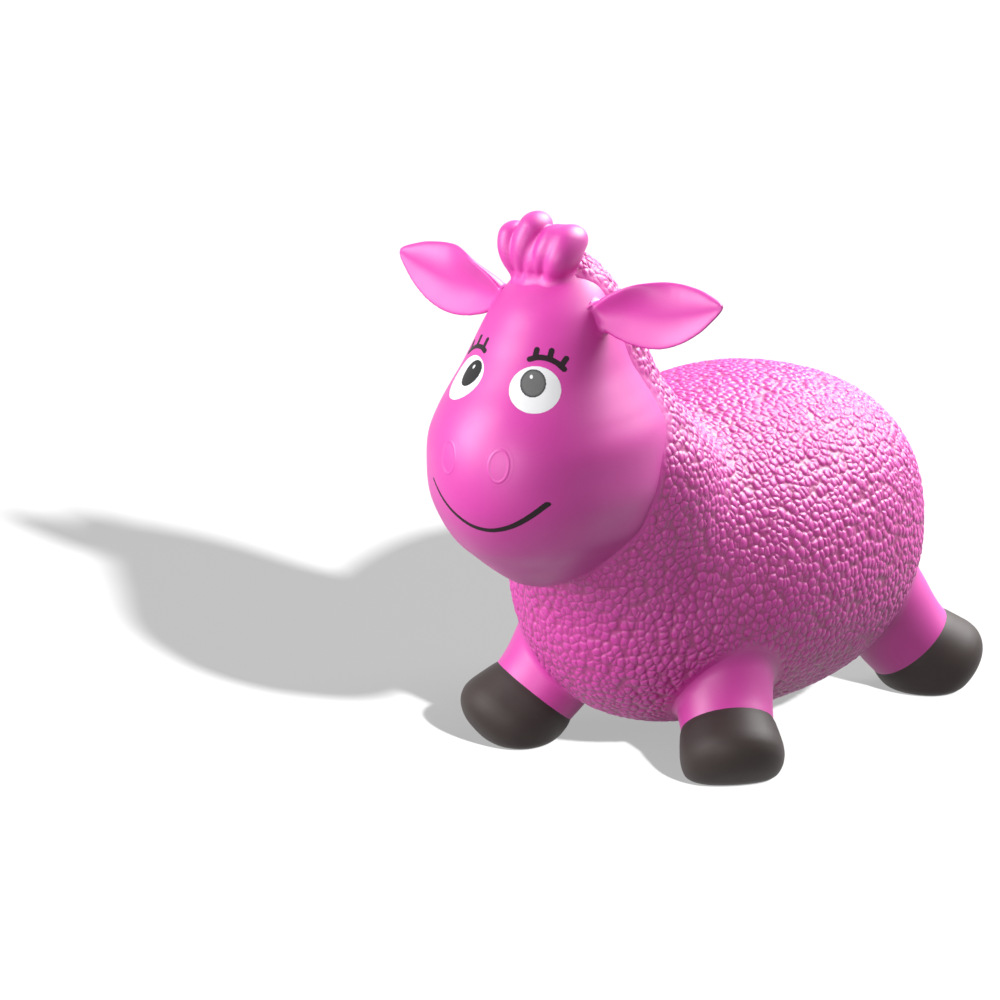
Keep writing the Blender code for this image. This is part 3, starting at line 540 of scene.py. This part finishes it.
def pinkRubber():
    material, tree, shader = newMaterial("pinkRubber", {
        "Specular IOR Level": 0.95, "Sheen Weight": 0.04, "Sheen Roughness": 0.8})
    place = addNode(tree, "ShaderNodeAttribute", attribute_name="restPlace").outputs["Vector"]
    cover = addNode(tree, "ShaderNodeAttribute", attribute_name="fleece").outputs["Fac"]
    pebble = addNode(tree, "ShaderNodeGroup", node_tree=pebbleGrain, inputs={"Place": place}).outputs
    rubber = addNode(tree, "ShaderNodeGroup", node_tree=rubberGrain, inputs={"Place": place}).outputs
    smooth = mixColour(tree, rubber["Patch"], pink["smooth"], pink["patchy"])
    tone = addMath(tree, "MULTIPLY", pebble["Tone"], pink["toneShare"])
    crowned = mixColour(tree, tone, pink["crown"], pink["patchy"])
    # painted shade: the colour darkens towards the creases between the pebbles
    outsideCreaseShade = addRange(tree, pebble["Near"], *pink["creaseShadeEdge"])
    pebbled = mixColour(tree, outsideCreaseShade, pink["creaseShade"], crowned)
    tree.links.new(mixColour(tree, cover, smooth, pebbled), shader.inputs["Base Color"])
    height = addMath(tree, "MULTIPLY", pebble["Near"], cover)
    raised = addBump(tree, height, *pink["creaseBump"])
    fine = addBump(tree, rubber["Grain"], *pink["grainBump"])
    tree.links.new(raised, fine.node.inputs["Normal"])
    tree.links.new(fine, shader.inputs["Normal"])
    rough = addRange(tree, rubber["Patch"], 0.3, 0.7, *pink["roughness"])
    tree.links.new(rough, shader.inputs["Roughness"])
    return material


def hoofPaint():
    material, tree, shader = newMaterial("hoofPaint", {"Roughness": 0.55, "Specular IOR Level": 0.3})
    patch = addGrain(tree, shader, (45.0, 1800.0), 0.2, 0.0003)
    colour = mixColour(tree, patch, (0.028, 0.019, 0.018, 1), (0.046, 0.033, 0.031, 1))
    tree.links.new(colour, shader.inputs["Base Color"])
    return material


def plainPaint(name, colour, roughness, coat=0.0, shine=0.5):
    material, tree, shader = newMaterial(name, {
        "Roughness": roughness, "Specular IOR Level": shine, "Coat Weight": coat, "Coat Roughness": 0.15})
    patch = addGrain(tree, shader, (120.0, 2600.0), 0.08)
    tree.links.new(mixColour(tree, patch, colour, darkened(colour, 0.92)), shader.inputs["Base Color"])
    return material


def pupilInk(name, middle, rim):
    # dotted ink, darker in a ring along its edge; a middle lighter than the rim, as on the left pupil, is a
    # painted reflection on black ink
    material, tree, shader = newMaterial(name, {"Roughness": 0.35, "Specular IOR Level": 0.25})
    edge = addNode(tree, "ShaderNodeAttribute", attribute_name="edge").outputs["Fac"]
    ink = mixColour(tree, addGrain(tree, shader, (900.0, 2600.0), 0.06), middle, darkened(middle, 0.75))
    inner = addRange(tree, edge, 0.0008, 0.0022)
    tree.links.new(mixColour(tree, inner, rim, ink), shader.inputs["Base Color"])
    return material


pebbleGrain = pebbleGroup()
rubberGrain = rubberGroup()
pinkSkin = pinkRubber()
blackHoof = hoofPaint()
eyePaint = plainPaint("eyeWhite", (0.92, 0.92, 0.94, 1), 0.32, 0.3)
pupilPaint = {
    # the left pupil's grey middle is a painted reflection on black ink
    "left": pupilInk("pupilGrey", (0.17, 0.172, 0.171, 1), (0.06, 0.06, 0.062, 1)),
    "right": pupilInk("pupilBlack", (0.014, 0.014, 0.015, 1), (0.01, 0.01, 0.011, 1))}
lashPaint = plainPaint("lashInk", (0.016, 0.007, 0.011, 1), 0.45, shine=0.2)
valveRubber = plainPaint("valveRubber", (0.76, 0.72, 0.68, 1), 0.4)
print("materials made")


# body skin: where the fleece thins out, as distances from what it meets
bare = {
    "leg": (0.0035, 0.0095), "head": (0.0005, 0.005), "headLeast": 0.1, "valve": (0.014, 0.021),
    "chestLess": 0.2, "bellyLess": 0.6}


def fleeceCover(points):
    x, y, z = points.T
    cover = np.ones(len(points))
    for end, sign in product(("front", "rear"), sides.values()):
        cover *= ease(legField(end, sign, x, y, z), *bare["leg"])
    cover *= bare["headLeast"] + (1 - bare["headLeast"]) * ease(headField(x, y, z), *bare["head"])
    chest = ease(-y, 0.07, 0.12) * ease(0.055 - np.abs(x), -0.03, 0.045) * ease(0.2 - z, 0.0, 0.08)
    cover *= 1 - bare["chestLess"] * chest
    cover *= 1 - bare["bellyLess"] * ease(0.036 - z, 0.0, 0.014)
    low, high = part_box("valve_seat")
    middle = (low + high) / 2
    away = np.sqrt((x - middle.x)**2 + (z - middle.z)**2) + 10 * np.clip(0.2 - y, 0, 1)
    cover *= ease(away, *bare["valve"])
    return cover


def buildBody(tree):
    points, quads = surfaceNet(bodyField, *skin["box"], skin["step"], skin["smoothRounds"])
    points, quads = keptFaces(points, quads, headField(*points.T) > -skin["hidden"])
    whole = newMesh("bodySkin", points, quads)
    addValues(whole, "fleece", fleeceCover(points))
    raiseFleece(whole, tree)
    mesh = whole.data
    points = readValues(mesh.vertices, "co", 3)
    normals = np.array([n.vector for n in mesh.vertex_normals])
    faces = readValues(mesh.polygons, "vertices", 4, np.int32)
    rest = readValues(mesh.attributes["restPlace"].data, "vector", 3)
    cover = readValues(mesh.attributes["fleece"].data, "value", 1)[:, 0]
    middle = rest[faces].mean(1)
    isNeck = neckField(*middle.T) < torsoField(*middle.T)
    ahead, behind = middle[:, 1] < skin["middleFrom"], middle[:, 1] > skin["rearFrom"]
    regions = {"neck_fleece": isNeck, "torso_fleece_front": ~isNeck & ahead,
               "torso_fleece_middle": ~isNeck & ~ahead & ~behind, "torso_fleece_rear": ~isNeck & behind}
    made = {}
    for name, wanted in regions.items():
        own = faces[wanted]
        used, number = np.unique(own, return_inverse=True)
        piece = newMesh(name, points[used], number.reshape(own.shape), normals[used])
        dress(piece, pinkSkin, restPlace=rest[used], fleece=cover[used])
        made[name] = piece
        print(name, "triangles", 2 * len(own))
    bpy.data.objects.remove(whole)
    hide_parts("neck_skin")
    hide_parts("torso_skin")
    for piece in made.values():
        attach(piece, "torso")


def smoothPiece(name, field, low, high, step, keep=None, rounds=4, material=pinkSkin):
    points, quads = surfaceNet(field, low, high, step, rounds)
    if keep is not None:
        points, quads = keptFaces(points, quads, keep(points))
    piece = newMesh(name, points, quads, unit(slopeOf(field, points)))
    dress(piece, material, restPlace=points, fleece=np.zeros(len(points)))
    print(name, "triangles", 2 * len(quads))
    return piece


# each carrying surface: how deep a joined skin's rim lies in it, and how deep it is cut off
carriers = {"body": (bodyField, 0.0006, 0.0004), "head": (headField, 0.0004, 0.0003)}


def joined(form, carrier, fillet):
    # a form that flows into the surface that carries it, and which of its points stay
    base, tuck, depth = carriers[carrier]

    def field(x, y, z):
        return smoothMin(form(x, y, z), base(x, y, z) + tuck, fillet)

    def kept(points):
        x, y, z = points.T
        return (base(x, y, z) > -depth) & (form(x, y, z) < fillet)
    return field, kept


def buildHead():
    piece = smoothPiece("head_smooth", headField, *head["box"], skin["step"])
    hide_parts("head_skin")
    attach(piece, "torso")


def buildLegs():
    for end, (side, sign) in product(("front", "rear"), sides.items()):
        name = end + "_" + side
        pivot, down, top = legFrame(end, sign)
        legSkin, nearBody = joined(partial(legField, end, sign), "body", leg["fillet"])

        def aboveLine(points):
            along = downLeg(end, sign, *points.T)[0]
            return nearBody(points) & (along < leg["hoofLine"] + leg["skinUnder"])

        def belowLine(points):
            return downLeg(end, sign, *points.T)[0] > leg["hoofLine"] - leg["hoofOver"]

        box = around(pivot + down * leg["skinMiddle"], leg["skinReach"])
        piece = smoothPiece(name + "_leg_skin", legSkin, *box, leg["step"], aboveLine)
        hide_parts(name + "_leg")
        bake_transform(piece)

        box = around(pivot + down * leg["length"], leg["hoofReach"])
        black = smoothPiece(name + "_hoof_cap", partial(hoofField, end, sign), *box, leg["step"],
                            belowLine, material=blackHoof)
        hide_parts(name + "_hoof")
        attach(black, name + "_leg")


buildBody(fleeceTree(pinkSkin))
print("body made")
buildHead()
buildLegs()
print("head and legs made")

ear = {
    "pivot": (0.0425, -0.16, 0.37699), "length": 0.098, "width": 0.048, "thickness": 0.0094,
    "hollow": 0.009, "backRoll": 0.0045, "droop": 0.006, "rootDrop": 0.0035, "rootRise": (-0.02, 0.35),
    "rolled": (0.22, 0.6), "sweep": 8, "rise": 7, "fillet": 0.0055, "step": 0.0012,
    "box": ((0.022, -0.186, 0.34), (0.15, -0.118, 0.424)), "bendFrom": -0.002, "bendTo": 0.022,
    # inside the head, below rodFrom, the root keeps one width down to rootEnd
    "rodFrom": -0.06, "rootEnd": -0.115, "endSlope": 40, "straightFrom": 1.3,
    # share of length, half width, thickness
    "rows": [(-0.12, 0.0, 1.0), (-0.08, 0.1, 1.1), (-0.02, 0.31, 1.3), (0.05, 0.54, 1.38),
             (0.11, 0.68, 1.28), (0.175, 0.79, 1.14), (0.24, 0.89, 1.05), (0.33, 0.98, 0.98),
             (0.48, 1.0, 0.9), (0.64, 0.88, 0.85), (0.79, 0.66, 0.8), (0.92, 0.34, 0.7),
             (0.98, 0.15, 0.5), (1.0, 0.0, 0.3)]}
earCurve = curveRows([(t, wide**2, thick) for t, wide, thick in ear["rows"]])


def asDistance(field, reach=0.0003):
    def measured(x, y, z):
        value = field(x, y, z)
        slope = ((field(x + reach, y, z) - field(x - reach, y, z))**2
                 + (field(x, y + reach, z) - field(x, y - reach, z))**2
                 + (field(x, y, z + reach) - field(x, y, z - reach))**2)**0.5 / (2 * reach)
        return value / np.maximum(slope, 60.0)
    return measured


earTurn = np.array((Matrix.Rotation(math.radians(ear["sweep"]), 3, "Z")
                    @ Matrix.Rotation(-math.radians(ear["rise"]), 3, "Y")).transposed())


def inEar(x, y, z):
    dx, dy, dz = x - ear["pivot"][0], y - ear["pivot"][1], z - ear["pivot"][2]
    return [earTurn[row][0] * dx + earTurn[row][1] * dy + earTurn[row][2] * dz for row in range(3)]


def earLeaf(x, y, z):
    along, depth, across = inEar(x, y, z)
    t = along / ear["length"]
    (wide, thick), _ = readCurve(earCurve, np.maximum(t, ear["rodFrom"]))
    half = ear["width"] / 2 * np.sqrt(np.maximum(wide, 1e-7))
    drop = ear["droop"] * np.sin(math.pi * np.clip(t, 0, 1))
    drop = drop + ear["rootDrop"] * (1 - ease(t, *ear["rootRise"]))
    v = np.clip((across + drop) / half, -30, 30)
    rolled = 1 - ease(t, *ear["rolled"])
    lower, upper = np.clip(-v, 0, 1.2), np.clip(v, 0, 1.2)
    curl = ear["hollow"] * rolled * 1.1 - ear["backRoll"] * (1 - rolled)
    bend = ear["hollow"] * (lower**2 - 0.35) + curl * upper**2
    bend = bend * np.minimum(half / (ear["width"] / 2) * 1.15, 1)
    thickness = ear["thickness"] / 2 * thick
    size, straight = np.abs(v), ear["straightFrom"]
    flat = np.where(size < straight, size**2, straight**2 + 2 * straight * (size - straight))
    past = np.clip(t - 1, 0, 1) + np.clip(ear["rootEnd"] - t, 0, 1)
    return np.sqrt(flat**2 + ((depth + bend) / thickness)**2) - 1 + ear["endSlope"] * past


def buildEars():
    leaf = asDistance(earLeaf)
    for side, sign in sides.items():
        def form(x, y, z):
            return leaf(x * sign, y, z)

        earSkin, nearHead = joined(form, "head", ear["fillet"])
        low, high = (list(corner) for corner in ear["box"])
        if sign < 0:
            low[0], high[0] = -high[0], -low[0]
        piece = smoothPiece("ear_skin_" + side, earSkin, low, high, ear["step"], nearHead, rounds=3)
        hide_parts("ear_" + side)
        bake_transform(piece)


tuft = {
    "deep": 1.45, "groove": 0.0026, "fillet": 0.008, "step": 0.0011, "balls": 22,
    "box": ((-0.056, -0.204, 0.37), (0.044, -0.118, 0.454)),
    "core": (-0.008, -0.16, 0.412, 0.0188), "coreWide": 1.7,
    # each curl from its tip on the brow to its crown: x, y, z, radius
    "curls": [
        [(-0.0233, -0.166, 0.3945, 0.0047), (-0.0289, -0.167, 0.4093, 0.0084),
         (-0.0312, -0.162, 0.4219, 0.0099)],
        [(-0.0159, -0.167, 0.3945, 0.0046), (-0.0159, -0.169, 0.4135, 0.0091),
         (-0.0129, -0.161, 0.4303, 0.0112)],
        [(-0.0043, -0.168, 0.3949, 0.0038), (0.0022, -0.171, 0.4128, 0.0082),
         (0.0061, -0.163, 0.4247, 0.0103)],
        [(0.0055, -0.167, 0.3968, 0.0052), (0.0134, -0.168, 0.4105, 0.0106),
         (0.0151, -0.16, 0.4228, 0.0125)],
        [(-0.0099, -0.17, 0.3931, 0.0034), (-0.0071, -0.172, 0.4052, 0.0057),
         (-0.0047, -0.168, 0.416, 0.0061)]]}


def curlField(curl, x, y, z):
    # a row of overlapping balls along a short curve, deeper than wide
    path = np.array(curl, float)
    fit = np.polyfit(np.linspace(0, 1, len(path)), path, len(path) - 1)

    def ball(t):
        cx, cy, cz, r = sum(fit[k] * t**(len(path) - 1 - k) for k in range(len(path)))
        return np.sqrt((x - cx)**2 + ((y - cy) / tuft["deep"])**2 + (z - cz)**2) - r
    return reduce(np.minimum, map(ball, np.linspace(0, 1, tuft["balls"])))


def tuftField(x, y, z):
    cx, cy, cz, r = tuft["core"]
    value = np.sqrt(((x - cx) / tuft["coreWide"])**2 + (y - cy)**2 + (z - cz)**2) - r
    for curl in tuft["curls"]:
        value = smoothMin(value, curlField(curl, x, y, z), tuft["groove"])
    return value


def buildTuft():
    tuftSkin, nearHead = joined(tuftField, "head", tuft["fillet"])
    piece = smoothPiece("forelock_curls", tuftSkin, *tuft["box"], tuft["step"], nearHead, rounds=2)
    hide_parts("forelock_centre", "forelock_left", "forelock_right", "forelock_middle",
                "forelock_lower")
    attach(piece, "torso")


tail = {
    "pivot": (0.0, 0.23569, 0.18465), "length": 0.036, "root": 0.0085, "radius": 0.0105, "droop": 12,
    "swell": 0.62, "balls": 20, "rootEnd": -0.2, "groove": 0.0004, "fillet": 0.007, "step": 0.0012,
    "box": ((-0.024, 0.214, 0.154), (0.024, 0.278, 0.214)), "bendReach": (0, 0.016, -0.0034)}


def tailField(x, y, z):
    droop = math.radians(tail["droop"])

    def ball(t):
        swell = math.sin(min(max(t, 0), 1) * math.pi * tail["swell"])
        radius = tail["root"] + (tail["radius"] - tail["root"]) * swell
        reach = (tail["length"] - tail["radius"]) * t
        return np.sqrt(x**2 + (y - tail["pivot"][1] - reach * math.cos(droop))**2
                       + (z - tail["pivot"][2] + reach * math.sin(droop))**2) - radius
    return reduce(partial(smoothMin, reach=tail["groove"]),
                  map(ball, np.linspace(tail["rootEnd"], 1, tail["balls"])))


def buildTail():
    tailSkin, nearBody = joined(tailField, "body", tail["fillet"])
    piece = smoothPiece("tail_skin", tailSkin, *tail["box"], tail["step"], nearBody)
    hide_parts("tail")
    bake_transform(piece)


buildEars()
buildTuft()
buildTail()
print("ears, forelock and tail made")


# painted and embossed marks that lie on the head
class Facing:
    def __init__(self, origin, turn=0.0, rise=0.0):
        turned = Matrix.Rotation(math.radians(turn), 3, "Z") @ Matrix.Rotation(-math.radians(rise), 3, "X")
        self.origin = np.array(origin)
        self.right, self.out, self.up = (np.array(turned @ Vector(v))
                                         for v in ((1, 0, 0), (0, -1, 0), (0, 0, 1)))

    def onHead(self, u, v, clear=0.04, rounds=40):
        start = self.origin + np.outer(u, self.right) + np.outer(v, self.up) + self.out * clear
        gone = np.zeros(len(u))
        for _ in range(rounds):
            gone += headField(*(start - gone[:, None] * self.out).T)
        return start - gone[:, None] * self.out


def outlineFaces(shape, low, high, step):
    us = np.arange(low[0], high[0] + step, step)
    vs = np.arange(low[1], high[1] + step, step)
    value = shape(us[:, None], vs[None, :])
    inside = value < 0
    index, points, faces = {}, [], []

    def corner(a):
        if a not in index:
            index[a] = len(points)
            points.append((us[a[0]], vs[a[1]]))
        return index[a]

    def crossing(a, b):
        key = (min(a, b), max(a, b))
        if key not in index:
            a, b = key
            share = value[a] / (value[a] - value[b])
            index[key] = len(points)
            points.append((us[a[0]] + (us[b[0]] - us[a[0]]) * share,
                           vs[a[1]] + (vs[b[1]] - vs[a[1]]) * share))
        return index[key]

    for i, j in np.argwhere(inside[:-1, :-1] | inside[1:, :-1] | inside[:-1, 1:] | inside[1:, 1:]):
        i, j = int(i), int(j)
        ring = [(i, j), (i + 1, j), (i + 1, j + 1), (i, j + 1)]
        face = []
        for a, b in zip(ring, ring[1:] + ring[:1]):
            if inside[a]:
                face.append(corner(a))
            if inside[a] != inside[b]:
                face.append(crossing(a, b))
        if len(face) > 2:
            faces.append(face)
    return np.array(points), faces


def headPatch(name, facing, shape, low, high, step, lift, material, slot, node, under=0.0009, raised=False):
    flat, faces = outlineFaces(shape, low, high, step)
    u, v = flat.T
    depth = -shape(u, v)

    def place(a, b):
        on = facing.onHead(a, b)
        normal = unit(slopeOf(headField, on))
        return on + normal * lift(a, b, -shape(a, b))[:, None], normal, on

    top, normal, on = place(u, v)
    if raised:
        e = step * 0.5
        acrossU = place(u + e, v)[0] - place(u - e, v)[0]
        acrossV = place(u, v + e)[0] - place(u, v - e)[0]
        shade = unit(np.cross(acrossU, acrossV))
    else:
        shade = normal
    count = len(top)
    bottom = on - normal * under
    allFaces = faces + [[count + k for k in reversed(face)] for face in faces]
    used = {(a, b) for face in faces for a, b in zip(face, face[1:] + face[:1])}
    allFaces += [[b, a, count + a, count + b] for a, b in used if (b, a) not in used]
    piece = newMesh(name, np.vstack([top, bottom]), allFaces, np.vstack([shade, -normal]))
    dress(piece, material, restPlace=np.vstack([top, bottom]), fleece=np.zeros(2 * count),
          edge=np.concatenate([depth, np.zeros(count)]))
    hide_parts(node)
    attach(piece, "torso")


def film(step, height, sunk=0.00008, rim=0.0003):
    # a mesh step, and a thin layer of paint whose rim dips under the skin
    return step, lambda u, v, depth: (height + sunk) * ease(depth, 0, rim) - sunk


def ellipse(middle, halfWidth, halfHeight):
    def shape(u, v):
        a, b = (u - middle[0]) / halfWidth, (v - middle[1]) / halfHeight
        size = np.sqrt(a**2 + b**2) + 1e-9
        return (size - 1) * size / (np.sqrt((a / halfWidth)**2 + (b / halfHeight)**2) + 1e-9)
    return shape


def strokes(lines):
    balls = []
    for line in lines:
        line = np.array(line, float)
        t = np.concatenate([[0], np.cumsum(np.linalg.norm(np.diff(line[:, :2], axis=0), axis=1))])
        curve = curveRows([(a, *row) for a, row in zip(t, line)], 0.0)
        (u, v, r), _ = readCurve(curve, np.linspace(0, t[-1], 60))
        balls += list(zip(u, v, r))

    def shape(u, v):
        return reduce(np.minimum, (np.sqrt((u - bu)**2 + (v - bv)**2) - r for bu, bv, r in balls))
    return shape


eye = {
    "across": 0.0288, "ahead": -0.228, "height": 0.3292, "turn": 27, "rise": 20, "half": (0.019, 0.0178),
    "pupil": (0.0097, 0.0108), "pupilUp": 0.0048, "glint": 0.0016, "glintFrom": (-0.0015, 0.0048),
    "pupilAcross": {"left": -0.0015, "right": 0.005}, "lashRadius": {"left": 0.0022, "right": 0.0019},
    # how far each paint stands out, and how fine its mesh is
    "eyePaint": (0.0009, 0.00022), "pupilPaint": (0.0006, 0.00036), "glintPaint": (0.0003, 0.00048),
    "lashPaint": (0.0004, 0.00025),
    # the bar and the three lashes, in shares of the half sizes
    "lash": {
        "left": [[(-0.26, 1.28), (0.02, 1.36), (0.36, 1.34), (0.76, 1.18), (1.06, 0.92)],
                 [(-0.06, 1.36), (0.0, 1.68)], [(0.5, 1.32), (0.56, 1.66)],
                 [(0.94, 1.04), (1.12, 1.36)]],
        "right": [[(-1.06, 0.92), (-0.76, 1.18), (-0.36, 1.34), (-0.02, 1.36), (0.26, 1.28)],
                  [(0.06, 1.36), (0.02, 1.74)], [(-0.5, 1.32), (-0.56, 1.72)],
                  [(-0.94, 1.04), (-1.12, 1.38)]]}}

mouth = {
    "halfWidth": 0.054, "rise": 0.022, "height": 0.229, "paint": (0.0005, 0.00025),
    # across, up, radius
    "line": [(0.94, 0.98, 0.0021), (0.76, 0.58, 0.0021), (0.52, 0.2, 0.002), (0.22, 0.0, 0.0018),
             (0.0, 0.06, 0.0017), (-0.25, 0.34, 0.0015), (-0.5, 0.78, 0.0013), (-0.74, 1.34, 0.001)]}

nostril = {
    "across": 0.0215, "height": 0.2797, "half": (0.0069, 0.0116), "ring": 0.0014, "relief": 0.0003,
    "ahead": -0.27, "margin": 0.004, "step": 0.0004}


def buildEye(side, sign):
    facing = Facing((sign * eye["across"], eye["ahead"], eye["height"]), sign * eye["turn"], eye["rise"])
    half, pupil, r = eye["half"], eye["pupil"], eye["glint"]
    headPatch("eye_paint_" + side, facing, ellipse((0, 0), *half), *around((0, 0), *half),
              *film(*eye["eyePaint"]), eyePaint, "eye_white", "eye_white_" + side)
    middle = (eye["pupilAcross"][side], eye["pupilUp"])
    headPatch("pupil_paint_" + side, facing, ellipse(middle, *pupil), *around(middle, *pupil),
              *film(*eye["pupilPaint"]), pupilPaint[side], "pupil_black", "pupil_" + side)
    spot = (middle[0] + eye["glintFrom"][0], middle[1] + eye["glintFrom"][1])
    headPatch("glint_paint_" + side, facing, ellipse(spot, r * 0.9, r * 1.15), *around(spot, 2 * r, 2 * r),
              *film(*eye["glintPaint"]), eyePaint, "eye_white", "eye_glint_" + side)
    a, b = half
    lines = [[(u * a, v * b, eye["lashRadius"][side]) for u, v in line] for line in eye["lash"][side]]
    headPatch("lash_paint_" + side, facing, strokes(lines), (-1.35 * a, 0.6 * b), (1.35 * a, 2.1 * b),
              *film(*eye["lashPaint"]), lashPaint, "lash_black", "lashes_" + side)


def buildNostril(side, sign):
    facing = Facing((sign * nostril["across"], nostril["ahead"], nostril["height"]))
    inner = ellipse((0, 0), *nostril["half"])

    def relief(u, v, depth):
        bump = np.clip(1 - (inner(u, v) / nostril["ring"])**2, 0, 1)**2
        return nostril["relief"] * bump + 0.0001 * ease(depth, 0, 0.001) - 0.00005

    outer = [half + nostril["margin"] for half in nostril["half"]]
    headPatch("nostril_ring_" + side, facing, ellipse((0, 0), *outer), *around((0, 0), *outer),
              nostril["step"], relief, pinkSkin, "pink_face", "nostril_rim_" + side, raised=True)


def buildMouth():
    front = Facing((0, nostril["ahead"], mouth["height"]))
    a, b = mouth["halfWidth"], mouth["rise"]
    line = [(u * a, v * b, r) for u, v, r in mouth["line"]]
    headPatch("mouth_paint", front, strokes([line]), (-1.1 * a, -0.4 * b), (1.1 * a, 1.8 * b),
              *film(*mouth["paint"]), lashPaint, "lash_black", "mouth_line")


for side, sign in sides.items():
    buildEye(side, sign)
    buildNostril(side, sign)
buildMouth()
print("face painted")

for name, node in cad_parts.items():
    if name.startswith("valve"):
        node.data.materials[0] = valveRubber


# floor, light and camera
camera = {
    "distance": 30.0, "pixels": 1000, "metresPerPixel": 0.000735, "aim": (-0.1307, -0.0225, 0.1676),
    "back": (0.51, -0.81, 0.289), "clipEnd": 200}

# the floor as the camera sees it glows by shade and takes light by reach; other rays see bounce
stage = {"size": 24.0, "shade": 0.43, "reach": 0.05, "bounce": 0.08}

# azimuth from the front towards the animal's left, elevation, power; then distance, width and height
# of a soft lamp, or the angle of the sun that throws the shadow
lamps = {
    "soft": {"face": (324, 29, 70, 2.3, 1.6, 2.0), "front": (16, 8, 20, 2.3, 1.3, 1.3),
             "flank": (160, 40, 134, 2.3, 1.7, 1.5)},
    "shadow": (58.0, 29.5, 75.0, 2.5), "aim": (0, 0, 0.2), "world": 0.01}


def buildCamera():
    data = bpy.data.cameras.new("camera")
    data.clip_end = camera["clipEnd"]
    data.lens = data.sensor_width * camera["distance"] / (camera["pixels"] * camera["metresPerPixel"])
    viewer = bpy.data.objects.new("camera", data)
    bpy.context.scene.collection.objects.link(viewer)
    back = Vector(camera["back"]).normalized()
    viewer.location = Vector(camera["aim"]) + back * camera["distance"]
    viewer.rotation_euler = (-back).to_track_quat("-Z", "Y").to_euler()
    bpy.context.scene.camera = viewer


def seenShare(tree):
    # one for what the camera, gloss and glass see
    sight = addNode(tree, "ShaderNodeLightPath").outputs
    through = addMath(tree, "MAXIMUM", sight["Is Glossy Ray"], sight["Is Transmission Ray"])
    return addMath(tree, "MAXIMUM", sight["Is Camera Ray"], through)


def buildFloor():
    half = stage["size"] / 2
    corners = [(-half, -half, 0), (half, -half, 0), (half, half, 0), (-half, half, 0)]
    floor = newMesh("floor", corners, [(0, 1, 2, 3)])
    material = bpy.data.materials.new("floorWhite")
    material.use_nodes = True
    tree = material.node_tree
    tree.nodes.clear()
    glow = addNode(tree, "ShaderNodeEmission", inputs={"Color": (1, 1, 1, 1), "Strength": stage["shade"]})
    paint = addNode(tree, "ShaderNodeBsdfDiffuse", inputs={"Color": (stage["reach"],) * 3 + (1,)})
    both = addNode(tree, "ShaderNodeAddShader", inputs={0: glow.outputs[0], 1: paint.outputs[0]})
    bounce = addNode(tree, "ShaderNodeEmission", inputs={"Color": (1, 1, 1, 1), "Strength": stage["bounce"]})
    mixed = addNode(tree, "ShaderNodeMixShader",
                    inputs={0: seenShare(tree), 1: bounce.outputs[0], 2: both.outputs[0]})
    addNode(tree, "ShaderNodeOutputMaterial", inputs={"Surface": mixed.outputs[0]})
    floor.data.materials.append(material)
    return floor


def addLamp(name, kind, azimuth, elevation, power, distance=0):
    data = bpy.data.lights.new(name, kind)
    data.energy = power
    lamp = bpy.data.objects.new(name, data)
    lamp.visible_camera = False
    bpy.context.scene.collection.objects.link(lamp)
    turn, rise = math.radians(azimuth), math.radians(elevation)
    toward = Vector((math.sin(turn) * math.cos(rise), -math.cos(turn) * math.cos(rise), math.sin(rise)))
    lamp.location = Vector(lamps["aim"]) + toward * distance
    lamp.rotation_euler = toward.to_track_quat("Z", "Y").to_euler()
    return lamp, data


def buildLight(floor):
    for name, (*aimed, width, height) in lamps["soft"].items():
        _, data = addLamp(name, "AREA", *aimed)
        data.shape = "RECTANGLE"
        data.size, data.size_y = width, height
    *aimed, angle = lamps["shadow"]
    lamp, data = addLamp("shadow", "SUN", *aimed)
    data.angle = math.radians(angle)
    lit = bpy.data.collections.new("shadowReceivers")
    lit.objects.link(floor)
    lamp.light_linking.receiver_collection = lit
    world = bpy.data.worlds.new("studio")
    bpy.context.scene.world = world
    world.use_nodes = True
    tree = world.node_tree
    tree.nodes.clear()
    strength = addRange(tree, seenShare(tree), 0.0, 1.0, lamps["world"], 1.0)
    sky = addNode(tree, "ShaderNodeBackground", inputs={"Color": (1, 1, 1, 1), "Strength": strength})
    addNode(tree, "ShaderNodeOutputWorld", inputs={"Surface": sky.outputs[0]})


buildCamera()
buildLight(buildFloor())
bpy.context.scene.view_settings.view_transform = "Standard"
print("stage made")
